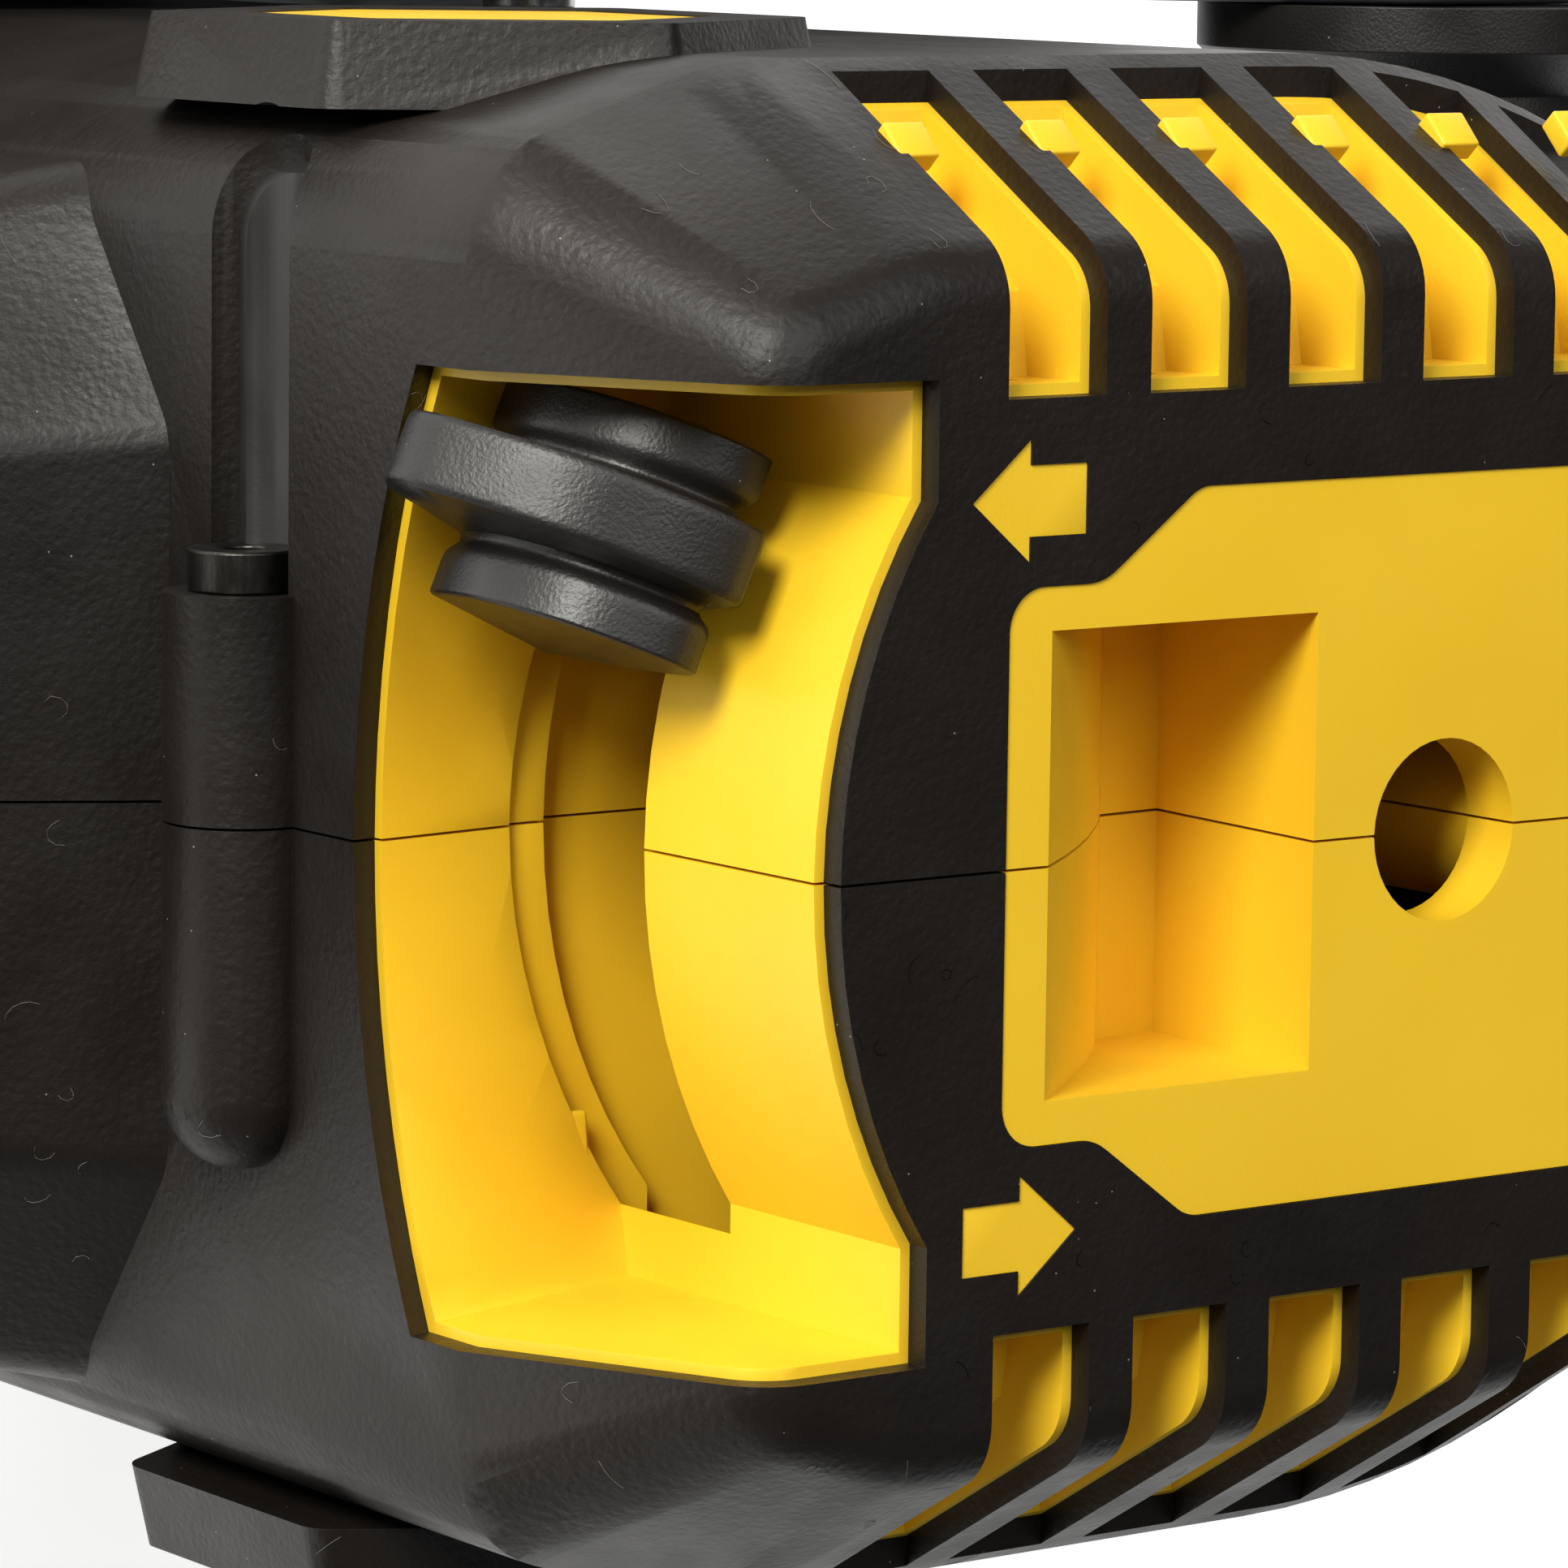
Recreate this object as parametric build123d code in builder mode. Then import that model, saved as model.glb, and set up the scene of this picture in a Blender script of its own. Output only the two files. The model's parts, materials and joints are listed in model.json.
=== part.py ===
"""Twin-disc wall chaser: an electric tool that saws two parallel grooves in masonry for cables and pipes.

Frame: +Z up out of the sole, +X forwards, +Y towards the sawing discs. The origin lies on the sole,
straight below the motor's axis. All sizes are millimetres.
"""
import math
import os
from build123d import *

os.makedirs("parts", exist_ok=True)

# Motor casing
CAP_Z = 300.0            # flat top of the motor cap
CASING_FOOT_Z = 124.0    # joint face between motor casing and gear housing
BEVEL_DROP = 21.5        # depth of the bevel round the cap
SKIN = 1.9               # rubber skin over the hard shell
WALL = 3.0               # hard shell
SEAM = 0.1               # half of the parting gap between the two casing halves
CAP_FOOT = [(-60.0, 46.5), (-39.5, 53.3), (26.0, 53.3), (64.0, 34.0)]
CAP_FOOT_RADII = [9.0, 30.0, 70.0, 26.0]
CAP_HEAD = [(-50.0, 36.5), (-37.0, 40.6), (23.0, 40.6), (52.0, 25.0)]
CAP_HEAD_RADII = [6.0, 24.0, 60.0, 18.0]
HEAD_SHRINK = 0.585      # how far the flat top pulls in for each millimetre of inset
BEVEL_SINK = 0.26        # how far the bevel's foot sinks for each millimetre of inset

PANEL_SUNK = 0.15        # hard panel, arrows and hexagons lie this much below the skin
RIM = 0.8                # hard shell shows this much inside the skin's openings
PANEL_HOLE_X = 8.2
PANEL_HOLE_R = 6.45
PAD_Y = 55.4             # outer face of the raised pads on the casing's sides
PAD_R = 25.0
BADGE_R = 17.0           # hexagon in the pad
BEARING_R = 11.0         # upper motor bearing
BOSS_R = 5.6             # screw boss across the rear of the casing

# Screws that join the two casing halves: x, z and the y of the head's seat
CASING_SCREWS = [(55.0, 150.0, 24.0), (55.0, 250.0, 24.0), (-52.0, 150.0, 30.0), (-146.0, 124.0, 9.0),
                 (-122.0, 216.0, 9.0), (-60.5, CAP_Z - 48.0, 16.0)]
REAR_BOSS = 5            # the last of them, in the boss across the casing's rear

# Changeover recess in the cap's rear edge
RECESS_R = 44.6          # step wall, about the motor's axis
RECESS_FLANK_X = -37.0   # the step wall's straight ends
RECESS_HALF = 33.0       # half width across the tool
LEDGE_DEPTH = 21.1       # underside of the step wall, below the cap's top
FLOOR_DEPTH = 36.3       # recess floor at its inner lip
FLOOR_RISE = 3.0         # how much higher the floor is at the rear wall
FLOOR_DISH = 9.5         # how much higher the floor's rear edge is at its two ends
LIP_R = 43.2             # inner lip of the recess floor
WELL_R = 31.5            # opening below the recess floor that the brush ring turns in
LEVER_REST = 24.0        # angle of the lever from the seam, at either end of its arc

KNOB_HALF = 7.6
KNOB_RIB_HALF = 3.7

# Vents: slots square to the seam, wrapped round the bevel on both sides
VENT_COUNT = 6
VENT_FIRST_X = -27.1
VENT_PITCH = 12.13
VENT_WIDTH = 8.3
VENT_INNER_Y = 31.5
VENT_DEPTH = 8.5

# Handle
HANDLE_TOP_Z = 216.0
HANDLE_LOW_Z = 106.0
GRIP_X = -146.0
GRIP_DEEP = 30.0
GRIP_WIDE = 34.0

INLET_X = -104.0         # cable entry under the handle

# Gear housing, spindle and discs
SPINDLE_Z = 88.0
GEAR_R = 38.0
GEAR_WALL = 3.5
DISC_R = 80.0
DISC_THICK = 2.4
DISC_INNER_Y = 72.0
DISC_OUTER_Y = 104.0
GEAR_MODULE = 1.25
PINION_TEETH = 12
CROWN_TEETH = 36
CROWN_INNER_R = 20.5     # the crown gear's teeth run outwards from here
CROWN_OUTER_R = 26.0

LOCK_X = 22.0            # spindle lock button
LOCK_Z = 106.0
AUX_X = -26.0            # threaded boss for a second front handle
AUX_Z = 104.0
AUX_BORE_R = 3.4
AUX_GRIP_X = 118.0       # front grip, across the tool
AUX_GRIP_Z = 172.0

# Guard and shoe
GUARD_Y = 60.0
COVER_Y = 117.0
GUARD_R = 87.0
GUARD_WALL = 3.0
GUARD_FOOT_Z = 10.0
PIVOT_X = 120.0
PIVOT_Z = 24.0
PIVOT_R = 5.0
SHOE_THICK = 4.0
ROLLER_R = 9.0
ROLLER_LIFT = 0.4        # rollers ride this much above the sole plane
FRONT_ROLLER_X = 118.0
REAR_ROLLER_X = -106.0
ROLLER_Y = (-30.0, 20.0)
SPOUT_Y = 90.0
SPOUT_Z = 140.0
SPOUT_R = 15.5
DIAL_X = -46.0
DIAL_Z = 108.0
RUNNING = 0.05           # radial running clearance of shafts in their bores
APART = 0.3              # gap between pieces that move past each other


def save(builder, name):
    """Labels one finished piece and writes it under its own name."""
    builder.part.label = name
    export_step(builder.part, f"parts/{name}.step")


def loop(points):
    """Completes one side of a symmetrical outline with its mirror image."""
    return points + [(x, -y) for x, y in reversed(points)]


def outline(points, radii, z, inset):
    """A closed, rounded outline at height z, moved inwards by inset."""
    with BuildSketch(Plane.XY.offset(z)) as sketch:
        with BuildLine():
            FilletPolyline(*loop(points), radius=radii + radii[::-1], close=True)
        make_face()
        if inset:
            offset(amount=-inset, kind=Kind.INTERSECTION)
    return sketch.sketch


def cap_body(inset):
    """The motor casing as one solid: straight sides with a bevel up to the flat top."""
    shoulder = CAP_Z - BEVEL_DROP - BEVEL_SINK * inset
    with BuildPart() as body:
        add(outline(CAP_FOOT, CAP_FOOT_RADII, CASING_FOOT_Z, inset))
        extrude(amount=shoulder - CASING_FOOT_Z)
        add(outline(CAP_FOOT, CAP_FOOT_RADII, shoulder, inset))
        add(outline(CAP_HEAD, CAP_HEAD_RADII, CAP_Z - inset, HEAD_SHRINK * inset))
        loft(ruled=True)
        head = body.faces().sort_by(Axis.Z)[-1]
        fillet(head.edges(), radius=5.5 - 0.6 * inset)
    return body.part


def neck_section(x, flat, half, top, bottom, inset):
    """Rear shoulder of the casing at one place along X: flat on top, with falling sides."""
    corners = [(flat, top), (half, top - 13.0), (half, bottom), (-half, bottom), (-half, top - 13.0), (-flat, top)]
    with BuildSketch(Plane(origin=(x, 0, 0), x_dir=(0, 1, 0), z_dir=(1, 0, 0))) as sketch:
        with BuildLine():
            FilletPolyline(*corners, radius=[5.0, 6.0, 6.0, 6.0, 6.0, 5.0], close=True)
        make_face()
        if inset:
            offset(amount=-inset, kind=Kind.INTERSECTION)
    return sketch.sketch


def handle_body(inset):
    """Rear shoulder and closed handle as one solid."""
    half_deep = GRIP_DEEP / 2
    with BuildPart() as body:
        add(neck_section(-52.0, 27.0, 46.0, CAP_Z - 54.0, CAP_Z - 112.0, inset))
        add(neck_section(-74.0, 25.0, 41.5, CAP_Z - 66.5, CAP_Z - 108.0, inset))
        loft(ruled=True)
        add(neck_section(-74.0, 25.0, 41.5, CAP_Z - 66.5, CAP_Z - 108.0, inset))
        add(neck_section(-112.0, 9.0, GRIP_WIDE / 2, HANDLE_TOP_Z + half_deep, HANDLE_TOP_Z - half_deep, inset))
        loft(ruled=True)
        with BuildLine(Plane.XZ):
            FilletPolyline(
                (-105.0, HANDLE_TOP_Z), (GRIP_X, HANDLE_TOP_Z), (GRIP_X, HANDLE_LOW_Z), (-47.0, HANDLE_LOW_Z), radius=24.0
            )
        with BuildSketch(Plane(origin=(-105.0, 0, HANDLE_TOP_Z), x_dir=(0, 1, 0), z_dir=(-1, 0, 0))):
            RectangleRounded(GRIP_WIDE - 2 * inset, GRIP_DEEP - 2 * inset, 10.0 - 0.9 * inset)
        sweep()
    return body.part


def half_space(side, gap):
    """Everything on one side of the seam, less half of the parting gap."""
    with BuildPart() as block:
        with BuildSketch(Plane.XZ.offset(-side * gap)):
            with Locations((-30.0, 200.0)):
                Rectangle(320.0, 320.0)
        extrude(amount=-side * 100.0)
    return block.part


def arc_point(radius, degrees):
    """A point on a circle about the motor's axis; 0 degrees is straight to the rear."""
    angle = math.radians(degrees)
    return (-radius * math.cos(angle), radius * math.sin(angle))


def recess_cut(grow):
    """The changeover recess: a bay open to the rear, and the slot below its step wall for the lever."""
    flank = RECESS_FLANK_X + grow
    half = RECESS_HALF + grow
    wall_r = RECESS_R - grow
    meet = math.degrees(math.acos(-flank / wall_r))
    rear_floor = CAP_Z - FLOOR_DEPTH + FLOOR_RISE - grow
    lip_floor = CAP_Z - FLOOR_DEPTH - grow
    high = CAP_Z + 6.0
    with BuildPart() as bay:
        with BuildSketch(Plane(origin=(-72.0, 0, 0), x_dir=(0, 1, 0), z_dir=(1, 0, 0))):
            with BuildLine():
                dish = rear_floor + FLOOR_DISH
                Polyline((half, dish), (half, high), (-half, high), (-half, dish))
                ThreePointArc((-half, dish), (0, rear_floor), (half, dish))
            make_face()
        with BuildSketch(Plane(origin=(-30.0, 0, 0), x_dir=(0, 1, 0), z_dir=(1, 0, 0))):
            with BuildLine():
                Polyline((half, lip_floor), (half, high), (-half, high), (-half, lip_floor))
                ThreePointArc((-half, lip_floor), (0, lip_floor - 2.0), (half, lip_floor))
            make_face()
        loft(ruled=True)
    with BuildPart() as plan:
        with BuildSketch(Plane.XY.offset(lip_floor - 10.0)):
            with BuildLine():
                Polyline(
                    arc_point(wall_r, -meet), (flank, -half), (-72.0, -half),
                    (-72.0, half), (flank, half), arc_point(wall_r, meet),
                )
                ThreePointArc(arc_point(wall_r, meet), arc_point(wall_r, 0), arc_point(wall_r, -meet))
            make_face()
        extrude(amount=high - lip_floor + 10.0)
        add(bay.part, mode=Mode.INTERSECT)
    return plan.part


def lever_slot():
    """Flat gap below the step wall that lets the lever's arm swing."""
    with BuildPart() as slot:
        with BuildSketch(Plane.XY.offset(CAP_Z - FLOOR_DEPTH - 1.7)):
            with BuildLine():
                far = RECESS_R + 2.0
                near = WELL_R - 3.0
                swing = 43.0
                ThreePointArc(arc_point(far, -swing), arc_point(far, 0), arc_point(far, swing))
                Line(arc_point(far, swing), arc_point(near, swing))
                ThreePointArc(arc_point(near, swing), arc_point(near, 0), arc_point(near, -swing))
                Line(arc_point(near, -swing), arc_point(far, -swing))
            make_face()
            with Locations((-35.0, 0)):
                Rectangle(52.0, 2 * RECESS_HALF - 4.0, mode=Mode.INTERSECT)
        extrude(amount=FLOOR_DEPTH + 1.7 - LEDGE_DEPTH)
        with BuildSketch(Plane.XY.offset(CAP_Z - FLOOR_DEPTH - 1.7)):
            Circle(60.0)
            Circle(LIP_R, mode=Mode.SUBTRACT)
        extrude(amount=1.7, mode=Mode.SUBTRACT)
    return slot.part


def vent_profile(x, grow):
    """One vent seen along X: a band that follows the flat, the bevel and the side."""
    inner = VENT_INNER_Y - grow
    with BuildSketch(Plane.YZ.offset(x)) as sketch:
        with BuildLine():
            Polyline(
                (inner, CAP_Z + 4.0), (inner, CAP_Z - VENT_DEPTH + 1.0), (38.0, CAP_Z - VENT_DEPTH),
                (46.0, CAP_Z - 20.0 - grow), (60.0, CAP_Z - 20.0 - grow), (60.0, CAP_Z + 4.0), (inner, CAP_Z + 4.0),
            )
        make_face()
    return sketch.sketch


def vent_cut(grow):
    """All vents on both sides of the seam."""
    width = VENT_WIDTH + 2 * grow
    with BuildPart() as vents:
        for index in range(VENT_COUNT):
            start = VENT_FIRST_X + index * VENT_PITCH - width / 2
            extrude(vent_profile(start, grow), amount=width, dir=(1, 0, 0))
        mirror(about=Plane.XZ)
    return vents.part


def air_slots():
    """Air passages through the vents' inner wall, behind each rib."""
    with BuildPart() as slots:
        for index in range(VENT_COUNT):
            x = VENT_FIRST_X + index * VENT_PITCH - 1.2
            for side in (1, -1):
                with Locations((x, side * 36.5, CAP_Z - 11.0)):
                    Box(3.6, 9.0, 12.0)
    return slots.part


def panel_outline(z, grow):
    """The hard panel that shows through the skin on the cap's top."""
    points = [(-30.8, 18.9), (-22.8, 18.9), (-14.5, 25.05), (46.0, 25.05)]
    with BuildSketch(Plane.XY.offset(z)) as sketch:
        with BuildLine():
            FilletPolyline(*loop(points), radius=[3.0, 4.0, 3.0, 8.0, 8.0, 3.0, 4.0, 3.0], close=True)
        make_face()
        if grow:
            offset(amount=grow, kind=Kind.INTERSECTION)
    return sketch.sketch


def arrow_outline(z, tip_x, tip_y, way):
    """A feed arrow beside the changeover recess; way is -1 towards the rear, 1 towards the front."""
    points = [(0, 0), (-4.9, 4.15), (-4.9, 2.4), (-9.7, 2.4), (-9.7, -2.4), (-4.9, -2.4), (-4.9, -4.15)]
    with BuildSketch(Plane.XY.offset(z)) as sketch:
        with BuildLine():
            Polyline(*[(tip_x + way * x, tip_y + y) for x, y in points], close=True)
        make_face()
    return sketch.sketch


def side_hexagon(side, y, radius):
    """A hexagon on the casing's side, facing outwards."""
    with BuildSketch(Plane(origin=(-37.0, side * y, CAP_Z - 54.0), x_dir=(1, 0, 0), z_dir=(0, side, 0))) as sketch:
        RegularPolygon(radius=radius, side_count=6, rotation=30)
        fillet(sketch.vertices(), radius=0.12 * radius)
    return sketch.sketch


def panel_pocket():
    """Scoop in the panel, deepest towards the front."""
    with BuildPart() as pocket:
        with BuildSketch(Plane.XZ.offset(-15.9)):
            with BuildLine():
                top = CAP_Z + 3.0
                Polyline((-4.0, top), (-3.2, CAP_Z - 9.0), (-2.4, CAP_Z - 18.8), (-7.9, CAP_Z - 18.4))
                Spline((-7.9, CAP_Z - 18.4), (-18.5, CAP_Z - 7.4), (-27.3, CAP_Z))
                Polyline((-27.3, CAP_Z), (-27.3, top), (-4.0, top))
            make_face()
        extrude(amount=31.8)
    return pocket.part


def grip_openings():
    """Trigger slot and lock button hole in the grip."""
    with BuildPart() as openings:
        with Locations((GRIP_X + 12.0, 0, 171.0)):
            Box(20.0, 12.0, 46.0)
        with Locations(Plane(origin=(GRIP_X, -15.0, 185.0), z_dir=(0, 1, 0))):
            Cylinder(5.3, 14.0)
    return openings.part

def tube(name, radius, bore, low, high, across=False, centre=(0.0, 0.0)):
    """A plain round piece with a bore, upright or across the tool, saved under its name."""
    plane = Plane(origin=(centre[0], low, centre[1]), x_dir=(1, 0, 0), z_dir=(0, 1, 0))
    if not across:
        plane = Plane(origin=(centre[0], centre[1], low))
    with BuildPart() as piece:
        with BuildSketch(plane):
            Circle(radius)
            if bore:
                Circle(bore, mode=Mode.SUBTRACT)
        extrude(amount=high - low)
    if name:
        save(piece, name)
    return piece.part


def across(x, z, y=0.0):
    """A plane whose normal is +Y, centred on a line across the tool."""
    return Plane(origin=(x, y, z), x_dir=(1, 0, 0), z_dir=(0, 1, 0))


def profile_xz(points, y, amount, radius=0.0):
    """A solid with a closed side view, from y onwards towards +Y."""
    with BuildPart() as solid:
        with BuildSketch(Plane.XZ.offset(-y)) as side_view:
            with BuildLine():
                Polyline(*points, close=True)
            make_face()
            if radius:
                fillet(side_view.vertices(), radius=radius)
        extrude(side_view.sketch, amount=amount, dir=(0, 1, 0))
    return solid.part


# Shared solids of the casing
with BuildPart() as skin_body:
    add(cap_body(0.0))
    add(handle_body(0.0))
    for side in (1, -1):
        extrude(side_hexagon(side, PAD_Y - 6.0, PAD_R), amount=6.0, dir=(0, side, 0), taper=12.0)

with BuildPart() as shell_body:
    add(cap_body(SKIN))
    add(handle_body(SKIN))

# Soft skin: covers the shell everywhere except at the panel, arrows, hexagons, recess and vents
with BuildPart() as soft_skin:
    add(skin_body.part)
    with Locations(Plane(origin=(-60.5, -1.5, CAP_Z - 48.0), z_dir=(0, 1, 0))):
        Cylinder(BOSS_R, 35.0)
    with Locations((-60.5, -19.0, CAP_Z - 48.0)):
        Sphere(BOSS_R)
    with Locations(Plane(origin=(-60.5, 16.0, CAP_Z - 48.0), z_dir=(0, 1, 0))):
        Cylinder(BOSS_R - 0.6, 29.0, align=(Align.CENTER, Align.CENTER, Align.MIN), mode=Mode.SUBTRACT)
    with Locations((-60.5, 45.0, CAP_Z - 48.0)):
        Sphere(BOSS_R - 0.6, mode=Mode.SUBTRACT)
    add(shell_body.part, mode=Mode.SUBTRACT)
    add(panel_outline(CAP_Z - 4.0, 0.04))
    add(arrow_outline(CAP_Z - 4.0, -34.1, 24.7, -1))
    add(arrow_outline(CAP_Z - 4.0, -24.3, -24.9, 1))
    extrude(amount=8.0, mode=Mode.SUBTRACT)
    for side in (1, -1):
        hexagon = side_hexagon(side, PAD_Y - 6.0, BADGE_R)
        extrude(hexagon, amount=8.0, dir=(0, side, 0), mode=Mode.SUBTRACT)
    add(recess_cut(0.0), mode=Mode.SUBTRACT)
    add(vent_cut(0.0), mode=Mode.SUBTRACT)
    add(grip_openings(), mode=Mode.SUBTRACT)
    for x, z, seat in CASING_SCREWS[:REAR_BOSS]:
        with Locations(across(x, z, seat)):
            Cylinder(4.2, 60.0, align=(Align.CENTER, Align.CENTER, Align.MIN), mode=Mode.SUBTRACT)

with BuildPart() as vent_lining:
    with BuildSketch(Plane.YZ.offset(VENT_FIRST_X - VENT_WIDTH)):
        with BuildLine():
            Polyline(
                (VENT_INNER_Y - 3.0, CAP_Z), (VENT_INNER_Y - 3.0, CAP_Z - VENT_DEPTH - 1.0),
                (37.0, CAP_Z - VENT_DEPTH - 2.0), (44.0, CAP_Z - 22.5), (60.0, CAP_Z - 22.5), (60.0, CAP_Z),
                close=True,
            )
        make_face()
    extrude(amount=VENT_COUNT * VENT_PITCH + VENT_WIDTH)
    mirror(about=Plane.XZ)

with BuildPart() as screw_bosses:
    for x, z, seat in CASING_SCREWS[:REAR_BOSS]:
        with Locations(across(x, z)):
            Cylinder(6.2, 120.0)
    add(shell_body.part, mode=Mode.INTERSECT)

with BuildPart() as screw_holes:
    for x, z, seat in CASING_SCREWS:
        with Locations(across(x, z, seat)):
            Cylinder(4.2, 60.0, align=(Align.CENTER, Align.CENTER, Align.MIN))
        with Locations(across(x, z)):
            Cylinder(2.0, 2 * seat)

with BuildPart() as hollow:
    add(cap_body(SKIN + WALL))
    add(handle_body(SKIN + WALL))
    add(outline(CAP_FOOT, CAP_FOOT_RADII, CASING_FOOT_Z, 0.0))
    extrude(amount=5.0, mode=Mode.SUBTRACT)
    with Locations((0, 0, CASING_FOOT_Z)):
        Cylinder(37.0, 6.0, align=(Align.CENTER, Align.CENTER, Align.MIN))
    add(screw_bosses.part, mode=Mode.SUBTRACT)
    add(recess_cut(3.0), mode=Mode.SUBTRACT)
    add(panel_pocket(), mode=Mode.SUBTRACT)
    with Locations((-14.7, 0, CAP_Z - 11.0)):
        Box(30.0, 37.8, 22.0, mode=Mode.SUBTRACT)
    add(vent_lining.part, mode=Mode.SUBTRACT)
    with BuildSketch(Plane.XY.offset(CAP_Z - LEDGE_DEPTH)):
        Circle(RECESS_R + 4.0)
        Circle(RECESS_R - 2.6, mode=Mode.SUBTRACT)
        with Locations((40.0, 0)):
            Rectangle(120.0, 120.0, mode=Mode.SUBTRACT)
    extrude(amount=LEDGE_DEPTH, mode=Mode.SUBTRACT)
    with BuildSketch(Plane.XY.offset(CAP_Z - FLOOR_DEPTH - 3.7)):
        Circle(60.0)
        Circle(WELL_R, mode=Mode.SUBTRACT)
        with Locations((40.0, 0)):
            Rectangle(120.0, 120.0, mode=Mode.SUBTRACT)
    extrude(amount=2.0, mode=Mode.SUBTRACT)

# Hard shell: panel, arrows and hexagons reach up through the skin; recess, pocket and vents are lined
with BuildPart() as hard_shell:
    add(shell_body.part)
    add(panel_outline(CAP_Z - 4.0, 0.0))
    add(arrow_outline(CAP_Z - 4.0, -34.1, 24.7, -1))
    add(arrow_outline(CAP_Z - 4.0, -24.3, -24.9, 1))
    extrude(amount=4.0 - PANEL_SUNK)
    for side in (1, -1):
        extrude(side_hexagon(side, PAD_Y - 6.0, BADGE_R), amount=6.0 - PANEL_SUNK, dir=(0, side, 0))
    add(hollow.part, mode=Mode.SUBTRACT)
    with Locations((PANEL_HOLE_X, 0, CAP_Z)):
        Cylinder(PANEL_HOLE_R, 16.0, mode=Mode.SUBTRACT)
    with Locations((PANEL_HOLE_X + 14.0, 0, CAP_Z - 3.0)):
        Cylinder(7.5, 19.0, align=(Align.CENTER, Align.CENTER, Align.MAX))
    with Locations((0, 0, CAP_Z - 22.0)):
        Cylinder(BEARING_R + 3.0, 12.0, align=(Align.CENTER, Align.CENTER, Align.MAX))
        Cylinder(BEARING_R, 12.0, align=(Align.CENTER, Align.CENTER, Align.MAX), mode=Mode.SUBTRACT)
    add(recess_cut(-RIM), mode=Mode.SUBTRACT)
    add(lever_slot(), mode=Mode.SUBTRACT)
    add(panel_pocket(), mode=Mode.SUBTRACT)
    add(vent_cut(-RIM), mode=Mode.SUBTRACT)
    add(air_slots(), mode=Mode.SUBTRACT)
    add(grip_openings(), mode=Mode.SUBTRACT)
    add(screw_holes.part, mode=Mode.SUBTRACT)

for side, name in ((1, "left"), (-1, "right")):
    with BuildPart() as shell_half:
        add(hard_shell.part)
        add(half_space(side, SEAM), mode=Mode.INTERSECT)
    save(shell_half, f"{name}_shell")
    with BuildPart() as skin_half:
        add(soft_skin.part)
        add(half_space(side, SEAM), mode=Mode.INTERSECT)
        with Locations(across(CASING_SCREWS[REAR_BOSS][0], CASING_SCREWS[REAR_BOSS][1])):
            Cylinder(2.0, 32.2, mode=Mode.SUBTRACT)
    save(skin_half, f"{name}_grip_skin")


with BuildPart() as casing_screws:
    for x, z, seat in CASING_SCREWS:
        with Locations(across(x, z, seat)):
            Cylinder(3.9, 3.0, align=(Align.CENTER, Align.CENTER, Align.MIN))
        with Locations(across(x, z, seat + 1.6)):
            Cylinder(1.8, 3.0, align=(Align.CENTER, Align.CENTER, Align.MIN), mode=Mode.SUBTRACT)
        with Locations(across(x, z, 2.0 - seat)):
            Cylinder(1.9, 2 * seat - 2.0, align=(Align.CENTER, Align.CENTER, Align.MIN))
save(casing_screws, "casing_screws")

# ---- Motor: everything that turns on its upright axis ----
COMMUTATOR_R = 14.0
tube("armature_shaft", 4.0 - RUNNING, 0.0, SPINDLE_Z + 18.0, CAP_Z - 25.5)
tube("upper_bearing", BEARING_R, 4.0, CAP_Z - 33.5, CAP_Z - 26.5)
tube("lower_bearing", 13.0, 4.0, CASING_FOOT_Z - 8.5, CASING_FOOT_Z - 0.5)

with BuildPart() as commutator:
    with BuildSketch(Plane.XY.offset(CAP_Z - 58.0)):
        Circle(COMMUTATOR_R)
        Circle(4.0, mode=Mode.SUBTRACT)
        with PolarLocations(COMMUTATOR_R, 24):
            Rectangle(1.6, 0.5, mode=Mode.SUBTRACT)
    extrude(amount=19.0)
save(commutator, "commutator")

with BuildPart() as armature_core:
    with BuildSketch(Plane.XY.offset(170.0)):
        Circle(24.0)
        Circle(4.0, mode=Mode.SUBTRACT)
        with PolarLocations(19.5, 12):
            SlotOverall(9.0, 4.0, mode=Mode.SUBTRACT)
        with PolarLocations(23.5, 12):
            Rectangle(3.0, 2.0, mode=Mode.SUBTRACT)
    extrude(amount=54.0)
save(armature_core, "armature_core")

with BuildPart() as armature_winding:
    for low, high in ((160.0, 169.6), (224.4, 236.0)):
        with BuildSketch(Plane.XY.offset(low)):
            Circle(21.0)
            Circle(4.4, mode=Mode.SUBTRACT)
        extrude(amount=high - low)
save(armature_winding, "armature_winding")

with BuildPart() as cooling_fan:
    with BuildSketch(Plane.XY.offset(138.0)):
        Circle(36.0)
        Circle(4.0, mode=Mode.SUBTRACT)
    extrude(amount=2.0)
    with BuildSketch(Plane.XY.offset(140.0)):
        with PolarLocations(26.0, 16):
            Rectangle(18.0, 1.8)
    extrude(amount=12.0)
    with BuildSketch(Plane.XY.offset(138.0)):
        Circle(9.0)
        Circle(4.0, mode=Mode.SUBTRACT)
    extrude(amount=14.0)
save(cooling_fan, "cooling_fan")

pitch_r = GEAR_MODULE * PINION_TEETH / 2
pinion_flank = [(pitch_r - 2.0, -1.05), (pitch_r + 1.1, -0.42), (pitch_r + 1.1, 0.42), (pitch_r - 2.0, 1.05)]
with BuildPart() as pinion:
    with BuildSketch(Plane.XY.offset(SPINDLE_Z + CROWN_INNER_R - 0.5)):
        Circle(pitch_r - 1.6)
        for tooth in range(PINION_TEETH):
            turn = 360.0 / PINION_TEETH * tooth + 90.0
            with BuildLine():
                Polyline(*[Vector(*point).rotate(Axis.Z, turn) for point in pinion_flank], close=True)
            make_face()
        Circle(4.0, mode=Mode.SUBTRACT)
    extrude(amount=CROWN_OUTER_R - CROWN_INNER_R + 1.0)
save(pinion, "pinion")

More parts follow.
